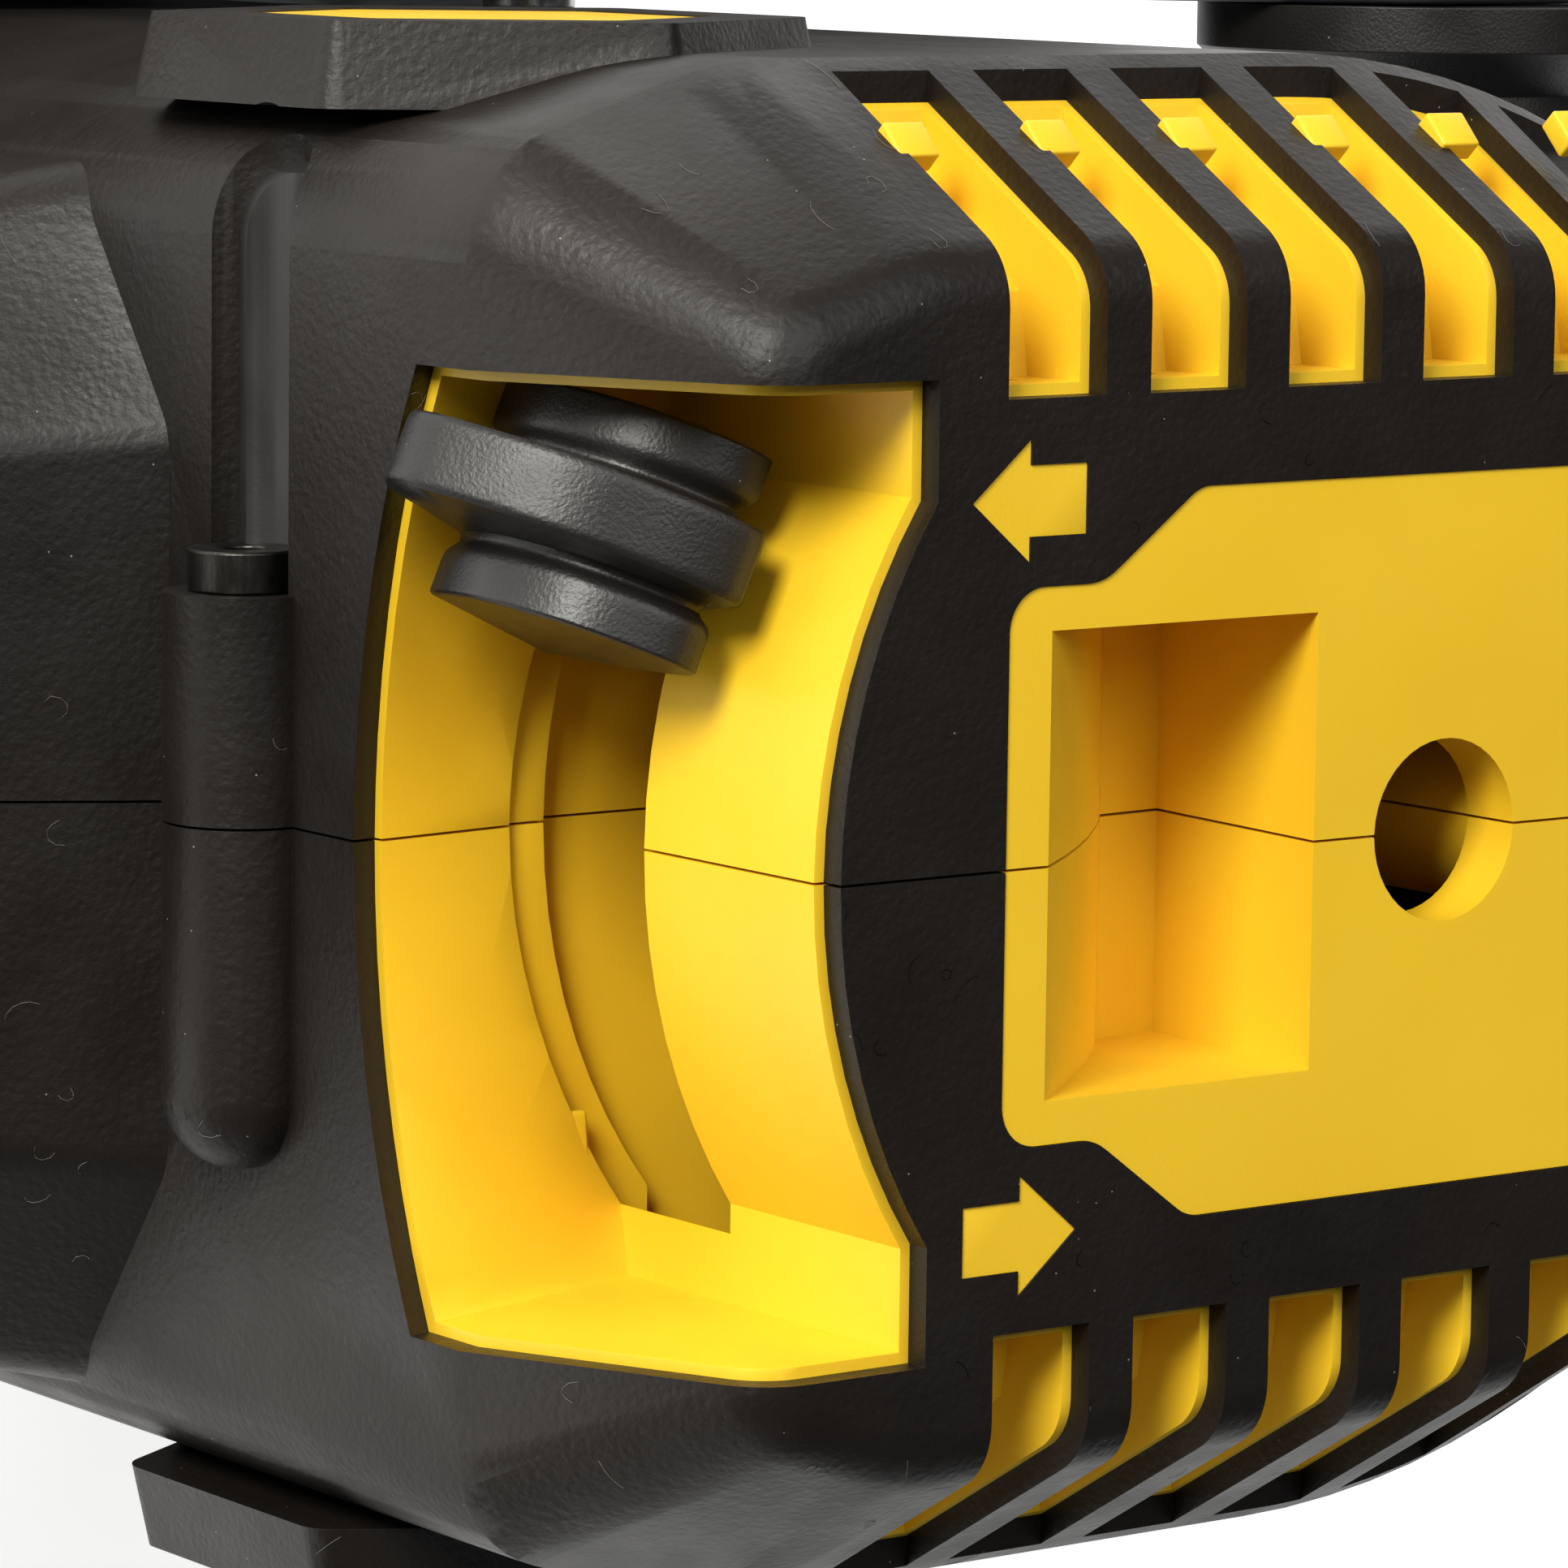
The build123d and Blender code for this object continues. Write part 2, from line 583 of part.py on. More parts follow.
with BuildPart() as stator_core:
    with BuildSketch(Plane.XY.offset(168.0)):
        Circle(43.0)
        Circle(25.0, mode=Mode.SUBTRACT)
        with Locations((0, 33.5), (0, -33.5)):
            Rectangle(40.0, 9.0, mode=Mode.SUBTRACT)
    extrude(amount=58.0)
save(stator_core, "stator_core")

with BuildPart() as field_coils:
    for side in (1, -1):
        with BuildSketch(Plane.XY.offset(160.0)):
            with Locations((0, side * 33.5)):
                Rectangle(39.0, 8.4)
        extrude(amount=74.0)
save(field_coils, "field_coils")

# ---- Changeover lever with the brush ring that it turns ----


def turned(part, degrees):
    """A piece turned about the motor's axis."""
    return part.rotate(Axis.Z, degrees)


def knob_profile(points, half):
    """One part of the knob: a side view along the radius, as wide as twice half."""
    heights = [(-distance, CAP_Z - depth) for distance, depth in points]
    return profile_xz(heights, -half, 2 * half, 1.0)


with BuildPart() as changeover_lever:
    with BuildSketch(Plane.XY.offset(CAP_Z - 36.0)):
        Circle(WELL_R - 0.6)
        Circle(15.0, mode=Mode.SUBTRACT)
    extrude(amount=11.5)
    with Locations((-38.0, 0, CAP_Z - 28.3)):
        Box(26.0, 10.0, 8.0)
    add(knob_profile([(61.0, 28.0), (61.5, 21.5), (58.0, 14.5), (53.5, 11.3), (49.6, 11.0), (48.0, 30.6), (51.0, 30.6)],
                     KNOB_HALF))
    add(knob_profile([(66.0, 27.0), (66.8, 23.0), (62.0, 15.0), (56.0, 10.2), (48.6, 9.0), (48.6, 14.0), (55.0, 27.0)],
                     KNOB_RIB_HALF))
lever = turned(changeover_lever.part, -LEVER_REST)
lever.label = "changeover_lever"
export_step(lever, "parts/changeover_lever.step")

with BuildPart() as brush_holders:
    for side in (1, -1):
        with Locations((side * 22.8, 0, CAP_Z - 47.0)):
            Box(14.4, 12.0, 20.0)
            Box(15.0, 6.6, 10.6, mode=Mode.SUBTRACT)
holders = turned(brush_holders.part, 90.0 - LEVER_REST)
holders.label = "brush_holders"
export_step(holders, "parts/brush_holders.step")

with BuildPart() as carbon_brushes:
    for side in (1, -1):
        with Locations((side * 19.7, 0, CAP_Z - 47.0)):
            Box(11.0, 6.4, 10.4)
    with BuildSketch(Plane.XY.offset(CAP_Z - 53.0)):
        Circle(COMMUTATOR_R + 0.1)
    extrude(amount=12.0, mode=Mode.SUBTRACT)
brushes = turned(carbon_brushes.part, 90.0 - LEVER_REST)
brushes.label = "carbon_brushes"
export_step(brushes, "parts/carbon_brushes.step")

with BuildPart() as brush_springs:
    for side in (1, -1):
        for ring in range(3):
            with Locations(Plane(origin=(side * (26.2 + 1.3 * ring), 0, CAP_Z - 47.0), z_dir=(1, 0, 0))):
                Torus(2.2, 0.5)
springs = turned(brush_springs.part, 90.0 - LEVER_REST)
springs.label = "brush_springs"
export_step(springs, "parts/brush_springs.step")

# ---- Gear housing ----
cover_bolts = [(GEAR_R + 5.0, angle) for angle in (40, 140, 220, 320)]
bolt_places = [(r * math.cos(math.radians(a)), SPINDLE_Z + r * math.sin(math.radians(a))) for r, a in cover_bolts]
flange_bolts = [(x, y) for x in (-42.2, 42.2) for y in (-24.0, 14.0)]

with BuildPart() as gear_housing:
    with BuildSketch(across(0, SPINDLE_Z, -34.0)):
        Circle(GEAR_R)
    extrude(amount=68.0)
    with BuildSketch(Plane.XY.offset(SPINDLE_Z + 12.0)):
        RectangleRounded(74.0, 68.0, 16.0)
    extrude(amount=CASING_FOOT_Z - SPINDLE_Z - 12.0)
    with BuildSketch(Plane.XY.offset(CASING_FOOT_Z - 7.0)):
        RectangleRounded(94.0, 68.0, 12.0)
    extrude(amount=6.7)
    with Locations(*[across(x, z, 22.0) for x, z in bolt_places]):
        Cylinder(6.0, 12.0, align=(Align.CENTER, Align.CENTER, Align.MIN))
    with Locations(across(0, SPINDLE_Z, -30.0)):
        Cylinder(GEAR_R - GEAR_WALL, 70.0, align=(Align.CENTER, Align.CENTER, Align.MIN), mode=Mode.SUBTRACT)
    with Locations((0, 0, SPINDLE_Z)):
        Cylinder(30.0, CASING_FOOT_Z - SPINDLE_Z - 12.0, align=(Align.CENTER, Align.CENTER, Align.MIN),
                 mode=Mode.SUBTRACT)
        Cylinder(13.0, 60.0, align=(Align.CENTER, Align.CENTER, Align.MIN), mode=Mode.SUBTRACT)
    with Locations(across(0, SPINDLE_Z, -34.0)):
        Cylinder(14.0, 9.0, align=(Align.CENTER, Align.CENTER, Align.MIN))
        Cylinder(10.0, 12.0, align=(Align.CENTER, Align.CENTER, Align.MIN), mode=Mode.SUBTRACT)
    with Locations(across(0, SPINDLE_Z, -37.0)):
        Cylinder(16.0, 4.0, align=(Align.CENTER, Align.CENTER, Align.MIN))
    with Locations(across(LOCK_X, LOCK_Z, -40.0)):
        Cylinder(8.0, 8.0, align=(Align.CENTER, Align.CENTER, Align.MIN))
        Cylinder(4.0 + RUNNING, 16.0, align=(Align.CENTER, Align.CENTER, Align.MIN), mode=Mode.SUBTRACT)
    with Locations(*[(x, y, CASING_FOOT_Z - 4.0) for x, y in flange_bolts]):
        Cylinder(2.6, 12.0, mode=Mode.SUBTRACT)
    with Locations(Plane(origin=(AUX_X, -34.0, AUX_Z), x_dir=(1, 0, 0), z_dir=(0, -1, 0))):
        Cylinder(9.0, 6.0, align=(Align.CENTER, Align.CENTER, Align.MIN))
    with Locations(Plane(origin=(AUX_X, -40.0, AUX_Z), x_dir=(1, 0, 0), z_dir=(0, -1, 0))):
        Cylinder(AUX_BORE_R, 9.0, align=(Align.CENTER, Align.CENTER, Align.MAX), mode=Mode.SUBTRACT)
save(gear_housing, "gear_housing")

with BuildPart() as flange_screws:
    with Locations(*[(x, y, CASING_FOOT_Z - 7.0) for x, y in flange_bolts]):
        Cylinder(4.0, 4.0, align=(Align.CENTER, Align.CENTER, Align.MAX))
    with Locations(*[(x, y, CASING_FOOT_Z - 11.0) for x, y in flange_bolts]):
        Cylinder(2.0, 3.0, align=(Align.CENTER, Align.CENTER, Align.MIN), mode=Mode.SUBTRACT)
    with Locations(*[(x, y, CASING_FOOT_Z - 7.0) for x, y in flange_bolts]):
        Cylinder(2.5, 11.5, align=(Align.CENTER, Align.CENTER, Align.MIN))
save(flange_screws, "flange_screws")

with BuildPart() as bearing_cover:
    with BuildSketch(across(0, SPINDLE_Z, 34.2)):
        Circle(GEAR_R - 2.5)
        with Locations(*[(x, z - SPINDLE_Z) for x, z in bolt_places]):
            Circle(6.0)
    extrude(amount=6.0)
    with BuildSketch(across(0, SPINDLE_Z, 40.2)):
        Circle(21.0)
    extrude(amount=GUARD_Y - 40.4)
    with Locations(across(0, SPINDLE_Z, 34.0)):
        Cylinder(16.0, 16.0, align=(Align.CENTER, Align.CENTER, Align.MIN), mode=Mode.SUBTRACT)
        Cylinder(10.5, 40.0, align=(Align.CENTER, Align.CENTER, Align.MIN), mode=Mode.SUBTRACT)
save(bearing_cover, "bearing_cover")

with BuildPart() as cover_screws:
    with Locations(*[across(x, z, 40.2) for x, z in bolt_places]):
        Cylinder(4.2, 4.0, align=(Align.CENTER, Align.CENTER, Align.MIN))
        Cylinder(2.0, 5.0, align=(Align.CENTER, Align.CENTER, Align.MIN), mode=Mode.SUBTRACT)
save(cover_screws, "cover_screws")

# ---- Spindle ----
tube("spindle_needle_bearing", 10.0, 6.0, -32.9, -23.0, True, (0, SPINDLE_Z))
tube("spindle_ball_bearing", 16.0, 8.0, 36.0, 47.0, True, (0, SPINDLE_Z))

with BuildPart() as spindle:
    with Locations(across(0, SPINDLE_Z, -32.5)):
        Cylinder(6.0 - RUNNING, 34.5, align=(Align.CENTER, Align.CENTER, Align.MIN))
    with Locations(across(0, SPINDLE_Z, 2.0)):
        Cylinder(8.0 - RUNNING, 105.5, align=(Align.CENTER, Align.CENTER, Align.MIN))
    with Locations(across(0, SPINDLE_Z, 52.0)):
        Cylinder(10.0, 11.4, align=(Align.CENTER, Align.CENTER, Align.MIN))
save(spindle, "spindle")

root_y = pitch_r + 1.7
with BuildPart() as crown_tooth:
    with BuildSketch(Plane.XY.offset(SPINDLE_Z + CROWN_INNER_R)):
        with BuildLine():
            Polyline((-0.85, root_y + 0.5), (-0.38, root_y - 2.7), (0.38, root_y - 2.7), (0.85, root_y + 0.5), close=True)
        make_face()
    extrude(amount=CROWN_OUTER_R - CROWN_INNER_R)

with BuildPart() as crown_gear:
    with BuildSketch(across(0, SPINDLE_Z, root_y)):
        Circle(CROWN_OUTER_R + 1.0)
        Circle(8.0, mode=Mode.SUBTRACT)
    extrude(amount=7.0)
    with BuildSketch(across(0, SPINDLE_Z, root_y + 7.0)):
        Circle(15.0)
        Circle(8.0, mode=Mode.SUBTRACT)
    extrude(amount=14.0)
    spindle_axis = Axis((0, 0, SPINDLE_Z), (0, 1, 0))
    for tooth in range(CROWN_TEETH):
        add(crown_tooth.part.rotate(spindle_axis, 360.0 / CROWN_TEETH * (tooth + 0.5)))
save(crown_gear, "crown_gear")

tube("inner_flange", 20.0, 8.0, 63.6, DISC_INNER_Y, True, (0, SPINDLE_Z))
tube("disc_spacers", 16.0, 8.0, DISC_INNER_Y + DISC_THICK, DISC_OUTER_Y, True, (0, SPINDLE_Z))

for name, y in (("inner_disc", DISC_INNER_Y), ("outer_disc", DISC_OUTER_Y)):
    with BuildPart() as disc:
        with BuildSketch(across(0, SPINDLE_Z, y + 0.4)):
            Circle(DISC_R - 8.0)
            Circle(8.0, mode=Mode.SUBTRACT)
            with PolarLocations(26.0, 6):
                Circle(3.0, mode=Mode.SUBTRACT)
        extrude(amount=DISC_THICK - 0.8)
        with BuildSketch(across(0, SPINDLE_Z, y)):
            Circle(DISC_R)
            Circle(DISC_R - 10.0, mode=Mode.SUBTRACT)
        extrude(amount=DISC_THICK)
        with BuildSketch(across(0, SPINDLE_Z, y)):
            Circle(22.0)
            Circle(8.0, mode=Mode.SUBTRACT)
        extrude(amount=DISC_THICK)
        with BuildSketch(across(0, SPINDLE_Z, y - 1.0)):
            with PolarLocations(DISC_R - 5.0, 14):
                SlotOverall(14.0, 2.4)
        extrude(amount=DISC_THICK + 2.0, mode=Mode.SUBTRACT)
    save(disc, name)

with BuildPart() as flange_nut:
    with BuildSketch(across(0, SPINDLE_Z, DISC_OUTER_Y + DISC_THICK)):
        Circle(20.0)
        Circle(8.0, mode=Mode.SUBTRACT)
        with PolarLocations(15.0, 4):
            Circle(2.5, mode=Mode.SUBTRACT)
    extrude(amount=6.5)
save(flange_nut, "flange_nut")

# ---- Guard ----


def hood_profile(y, amount, radius, foot):
    """Side view of the guard's hood: a half round above straight sides."""
    with BuildPart() as hood:
        with BuildSketch(across(0, SPINDLE_Z, y)) as side_view:
            Circle(radius)
            with Locations((0, (foot - SPINDLE_Z) / 2)):
                Rectangle(2 * radius, SPINDLE_Z - foot)
            with Locations((0, foot - SPINDLE_Z - 50.0)):
                Rectangle(3 * radius, 100.0, mode=Mode.SUBTRACT)
        extrude(side_view.sketch, amount=amount, dir=(0, 1, 0))
    return hood.part


NOSE = [(70.0, GUARD_FOOT_Z + 2.0), (PIVOT_X, PIVOT_Z - 11.0), (PIVOT_X + 10.0, PIVOT_Z), (PIVOT_X, PIVOT_Z + 11.0),
        (84.0, 66.0), (70.0, 66.0)]
with BuildPart() as guard:
    add(hood_profile(GUARD_Y, COVER_Y - GUARD_Y, GUARD_R, GUARD_FOOT_Z))
    add(profile_xz(NOSE, GUARD_Y, COVER_Y - GUARD_Y, 6.0))
    add(hood_profile(GUARD_Y + GUARD_WALL, 60.0, GUARD_R - GUARD_WALL, GUARD_FOOT_Z - 1.0), mode=Mode.SUBTRACT)
    with Locations(Plane(origin=(-70.0, SPOUT_Y, SPOUT_Z), z_dir=(-1, 0, 0))):
        Cylinder(SPOUT_R + 3.0, 22.0, align=(Align.CENTER, Align.CENTER, Align.MIN))
        Cylinder(SPOUT_R, 60.0, mode=Mode.SUBTRACT)
    add(hood_profile(GUARD_Y + GUARD_WALL, 60.0, GUARD_R - GUARD_WALL, GUARD_FOOT_Z - 1.0), mode=Mode.SUBTRACT)
    with Locations(across(0, SPINDLE_Z, GUARD_Y - 1.0)):
        Cylinder(21.0, GUARD_WALL + 2.0, align=(Align.CENTER, Align.CENTER, Align.MIN), mode=Mode.SUBTRACT)
    with Locations(across(PIVOT_X, PIVOT_Z, GUARD_Y - 1.0)):
        Cylinder(PIVOT_R + RUNNING, 80.0, align=(Align.CENTER, Align.CENTER, Align.MIN), mode=Mode.SUBTRACT)
    with Locations(across(0, SPINDLE_Z, 44.6)):
        Cylinder(30.0, 15.4, align=(Align.CENTER, Align.CENTER, Align.MIN))
        Cylinder(21.1, 19.0, align=(Align.CENTER, Align.CENTER, Align.MIN), mode=Mode.SUBTRACT)
save(guard, "guard")

with BuildPart() as guard_cover:
    add(hood_profile(COVER_Y + 0.1, GUARD_WALL, GUARD_R, GUARD_FOOT_Z))
save(guard_cover, "guard_cover")

guard_screw_places = [(86.0 * math.cos(math.radians(a)) * 0.975, SPINDLE_Z + 86.0 * math.sin(math.radians(a)) * 0.975)
                      for a in (20, 90, 160)]
with BuildPart() as guard_screws:
    with Locations(*[across(x, z, COVER_Y + 3.1) for x, z in guard_screw_places]):
        Cylinder(3.4, 2.6, align=(Align.CENTER, Align.CENTER, Align.MIN))
        Cylinder(1.6, 3.0, align=(Align.CENTER, Align.CENTER, Align.MIN), mode=Mode.SUBTRACT)
save(guard_screws, "guard_screws")

with BuildPart() as dust_spout:
    with BuildSketch(Plane(origin=(-92.3, SPOUT_Y, SPOUT_Z), z_dir=(-1, 0, 0))):
        Circle(SPOUT_R + 2.5)
        Circle(SPOUT_R - 0.3, mode=Mode.SUBTRACT)
    extrude(amount=46.0)
    with BuildSketch(Plane(origin=(-92.3, SPOUT_Y, SPOUT_Z), z_dir=(-1, 0, 0))):
        Circle(SPOUT_R + 4.5)
        Circle(SPOUT_R - 0.3, mode=Mode.SUBTRACT)
    extrude(amount=4.0)
save(dust_spout, "dust_spout")

with BuildPart() as depth_dial:
    with BuildSketch(across(DIAL_X, DIAL_Z, COVER_Y + GUARD_WALL + 0.4)):
        Circle(14.0)
        with PolarLocations(14.0, 12):
            Circle(1.6, mode=Mode.SUBTRACT)
    extrude(amount=9.0)
    with BuildSketch(across(DIAL_X, DIAL_Z, COVER_Y + GUARD_WALL + 9.4)):
        SlotOverall(26.0, 6.0)
    extrude(amount=4.0)
save(depth_dial, "depth_dial")

# ---- Shoe with its rollers ----
with BuildPart() as shoe:
    with BuildSketch(Plane.XY):
        with Locations((6.0, 45.0)):
            RectangleRounded(256.0, 182.0, 12.0)
        with Locations((21.0, (GUARD_Y + COVER_Y + 3.0) / 2)):
            RectangleRounded(232.0, COVER_Y + GUARD_WALL - GUARD_Y + 5.0, 3.0, mode=Mode.SUBTRACT)
        for x in (FRONT_ROLLER_X, REAR_ROLLER_X):
            for y in ROLLER_Y:
                with Locations((x, y)):
                    Rectangle(2 * ROLLER_R + 2.4, 19.0, mode=Mode.SUBTRACT)
    extrude(amount=SHOE_THICK)
    for y in (GUARD_Y - 3.0 - 6.0, COVER_Y + GUARD_WALL + 2.9):
        ear = [(PIVOT_X - 16.0, 1.0), (PIVOT_X + 13.0, 1.0), (PIVOT_X + 10.0, PIVOT_Z + 6.0),
               (PIVOT_X + 4.0, PIVOT_Z + 11.0), (PIVOT_X - 6.0, PIVOT_Z + 11.0)]
        add(profile_xz(ear, y, 6.0))
    for x in (FRONT_ROLLER_X, REAR_ROLLER_X):
        for y in ROLLER_Y:
            for side in (-1, 1):
                with Locations((x, y + side * 12.0, 0)):
                    Box(12.0, 4.0, 15.0, align=(Align.CENTER, Align.CENTER, Align.MIN))
    with Locations(across(PIVOT_X, PIVOT_Z, 40.0)):
        Cylinder(PIVOT_R, 100.0, align=(Align.CENTER, Align.CENTER, Align.MIN), mode=Mode.SUBTRACT)
    for x in (FRONT_ROLLER_X, REAR_ROLLER_X):
        with Locations(across(x, ROLLER_R + ROLLER_LIFT, -60.0)):
            Cylinder(2.5, 210.0, align=(Align.CENTER, Align.CENTER, Align.MIN), mode=Mode.SUBTRACT)
save(shoe, "shoe")

tube("pivot_pin", PIVOT_R, 0.0, GUARD_Y - 11.0, COVER_Y + GUARD_WALL + 11.0, True, (PIVOT_X, PIVOT_Z))

with BuildPart() as roller_axles:
    for x in (FRONT_ROLLER_X, REAR_ROLLER_X):
        for y in ROLLER_Y:
            with Locations(across(x, ROLLER_R + ROLLER_LIFT, y - 14.0)):
                Cylinder(2.5, 28.0, align=(Align.CENTER, Align.CENTER, Align.MIN))
save(roller_axles, "roller_axles")

for name, x in (("front_rollers", FRONT_ROLLER_X), ("rear_rollers", REAR_ROLLER_X)):
    with BuildPart() as rollers:
        for y in ROLLER_Y:
            with BuildSketch(across(x, ROLLER_R + ROLLER_LIFT, y - 9.0)):
                Circle(ROLLER_R)
                Circle(2.5 + RUNNING, mode=Mode.SUBTRACT)
            extrude(amount=18.0)
    save(rollers, name)

with BuildPart() as plunge_spring:
    for coil in range(5):
        with Locations(across(PIVOT_X, PIVOT_Z, GUARD_Y - 12.5 - 2.3 * coil)):
            Torus(7.0, 1.1)
save(plunge_spring, "plunge_spring")

# ---- Front handle ----
bracket_y = GUARD_Y - 6.2
with BuildPart() as handle_bracket:
    arm = [(34.0, SPINDLE_Z + 26.0), (66.0, SPINDLE_Z - 4.0), (AUX_GRIP_X + 13.0, AUX_GRIP_Z - 14.0),
           (AUX_GRIP_X + 13.0, AUX_GRIP_Z + 13.0), (AUX_GRIP_X - 12.0, AUX_GRIP_Z + 13.0)]
    add(profile_xz(arm, bracket_y, 6.0, 8.0))
    with Locations(across(AUX_GRIP_X, AUX_GRIP_Z, bracket_y + 3.0)):
        Cylinder(4.0, 20.0, mode=Mode.SUBTRACT)
save(handle_bracket, "handle_bracket")

grip_low_y = -48.0
grip_high_y = bracket_y - 0.2
with BuildPart() as front_grip:
    with BuildSketch(Plane.XY):
        with BuildLine():
            Polyline((4.0, grip_high_y), (21.0, grip_high_y), (21.0, grip_high_y - 4.0), (16.5, grip_high_y - 8.0))
            Spline((16.5, grip_high_y - 8.0), (17.8, grip_high_y - 30.0), (16.5, grip_low_y + 34.0),
                   (17.6, grip_low_y + 16.0), (12.0, grip_low_y + 1.5))
            Polyline((12.0, grip_low_y + 1.5), (8.0, grip_low_y), (4.0, grip_low_y), (4.0, grip_high_y))
        make_face()
    revolve(axis=Axis.Y)
grip = front_grip.part.moved(Location((AUX_GRIP_X, 0, AUX_GRIP_Z)))
grip.label = "front_grip"
export_step(grip, "parts/front_grip.step")
with BuildPart() as front_grip_bolt:
    with Locations(across(AUX_GRIP_X, AUX_GRIP_Z, grip_low_y + 1.0)):
        Cylinder(4.0, bracket_y + 6.0 - grip_low_y, align=(Align.CENTER, Align.CENTER, Align.MIN))
    with Locations(across(AUX_GRIP_X, AUX_GRIP_Z, bracket_y + 6.1)):
        Cylinder(7.0, 5.0, align=(Align.CENTER, Align.CENTER, Align.MIN))
save(front_grip_bolt, "front_grip_bolt")

# ---- Switch, trigger and buttons in the rear handle ----
with BuildPart() as switch_body:
    with Locations((GRIP_X - 3.2, 0, 171.0)):
        Box(10.0, 17.0, 46.0)
save(switch_body, "switch_body")

with BuildPart() as trigger:
    nose = [(GRIP_X + 8.0, 149.5), (GRIP_X + 20.0, 149.5), (GRIP_X + 26.0, 158.0), (GRIP_X + 25.0, 176.0),
            (GRIP_X + 22.0, 192.5), (GRIP_X + 8.0, 192.5)]
    add(profile_xz(nose, -5.6, 11.2, 2.0))
save(trigger, "trigger")

with BuildPart() as lock_on_button:
    with Locations(across(GRIP_X, 185.0, -20.5)):
        Cylinder(5.0, 7.6, align=(Align.CENTER, Align.CENTER, Align.MIN))
save(lock_on_button, "lock_on_button")

with BuildPart() as spindle_lock_button:
    with Locations(across(LOCK_X, LOCK_Z, -50.0)):
        Cylinder(7.0, 4.6, align=(Align.CENTER, Align.CENTER, Align.MIN))
        Cylinder(4.0, 24.0, align=(Align.CENTER, Align.CENTER, Align.MIN))
save(spindle_lock_button, "spindle_lock_button")

with BuildPart() as cable_inlet:
    with Locations((INLET_X, 0, HANDLE_LOW_Z - GRIP_DEEP / 2)):
        Cylinder(9.0, 8.0, align=(Align.CENTER, Align.CENTER, Align.MAX))
        Cylinder(4.5, 8.0, align=(Align.CENTER, Align.CENTER, Align.MAX), mode=Mode.SUBTRACT)
save(cable_inlet, "cable_inlet")
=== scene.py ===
import json
import math
import random

import bmesh
import bpy
from mathutils import Matrix, Vector
from mathutils.bvhtree import BVHTree


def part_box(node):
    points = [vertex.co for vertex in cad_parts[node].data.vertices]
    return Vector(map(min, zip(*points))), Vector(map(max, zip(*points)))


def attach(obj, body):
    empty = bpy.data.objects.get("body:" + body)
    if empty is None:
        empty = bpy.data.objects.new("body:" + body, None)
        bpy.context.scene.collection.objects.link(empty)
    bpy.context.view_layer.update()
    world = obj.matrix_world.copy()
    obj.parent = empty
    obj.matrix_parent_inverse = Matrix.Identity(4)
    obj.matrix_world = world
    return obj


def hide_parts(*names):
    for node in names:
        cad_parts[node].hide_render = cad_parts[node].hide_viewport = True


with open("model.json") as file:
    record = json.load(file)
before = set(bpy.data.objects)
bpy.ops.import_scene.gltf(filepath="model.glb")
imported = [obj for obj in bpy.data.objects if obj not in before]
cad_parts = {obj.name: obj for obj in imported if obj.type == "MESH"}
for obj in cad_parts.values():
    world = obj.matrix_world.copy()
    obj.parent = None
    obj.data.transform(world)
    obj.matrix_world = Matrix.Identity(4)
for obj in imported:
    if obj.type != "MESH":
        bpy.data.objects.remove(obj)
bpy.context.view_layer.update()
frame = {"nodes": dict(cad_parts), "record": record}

MM = 0.001
bodies = frame["record"]["behaviour"]["bodies"]
BODY_OF = {node: body for body, nodes in bodies.items() for node in nodes}
SLOT_OF = {part["node"]: part["material_slot"] for part in frame["record"]["subparts"]}

# ---- Places taken from the machine, in metres ----
SPINDLE_Z = 0.088
GROOVE = (-0.0605, 0.252)      # screwdriver groove across the casing's rear, x and z
GROOVE_REACH = 0.0098          # how far from the groove's line the yellow is coloured near-black
GROOVE_START_Y = 0.010
KNOB_START = 0.0477            # the thumb knob begins this far from the motor's axis
SHARP = math.radians(32.0)     # edges that turn more than this stay crisp
ROUNDED = math.radians(34.0)   # edges that turn more than this get a radius
FLAT = math.radians(1.2)       # neighbours that turn less than this become one face
WELD = 0.004 * MM              # points closer than this are one point


# ---- Materials ----
def colour(code):
    """A linear colour from an sRGB hex code."""
    channels = [int(code[i:i + 2], 16) / 255.0 for i in (1, 3, 5)]
    linear = [c / 12.92 if c <= 0.04045 else ((c + 0.055) / 1.055) ** 2.4 for c in channels]
    return tuple(linear) + (1.0,)


def add(tree, kind, settings=None, links=None):
    """Adds one node; settings go to its properties or inputs, links join inputs to other sockets."""
    node = tree.nodes.new(kind)
    for key, value in (settings or {}).items():
        if isinstance(key, str) and hasattr(node, key) and key not in node.inputs:
            setattr(node, key, value)
        else:
            node.inputs[key].default_value = value
    for key, socket in (links or {}).items():
        tree.links.new(socket, node.inputs[key])
    return node


def blank(name):
    """A new material with only its shader and output, and the object's own coordinates."""
    material = bpy.data.materials.new(name)
    material.use_nodes = True
    tree = material.node_tree
    tree.nodes.clear()
    shader = add(tree, "ShaderNodeBsdfPrincipled")
    add(tree, "ShaderNodeOutputMaterial", links={"Surface": shader.outputs["BSDF"]})
    place = add(tree, "ShaderNodeTexCoord").outputs["Object"]
    return material, tree, shader, place


def noise(tree, place, size_mm, detail=3.0, rough=0.55, stretch=None):
    """Noise whose blobs are about size_mm across."""
    if stretch:
        place = add(tree, "ShaderNodeMapping", {"Scale": stretch}, {"Vector": place}).outputs["Vector"]
    settings = {"Scale": 1.0 / (size_mm * MM), "Detail": detail, "Roughness": rough}
    return add(tree, "ShaderNodeTexNoise", settings, {"Vector": place}).outputs["Fac"]


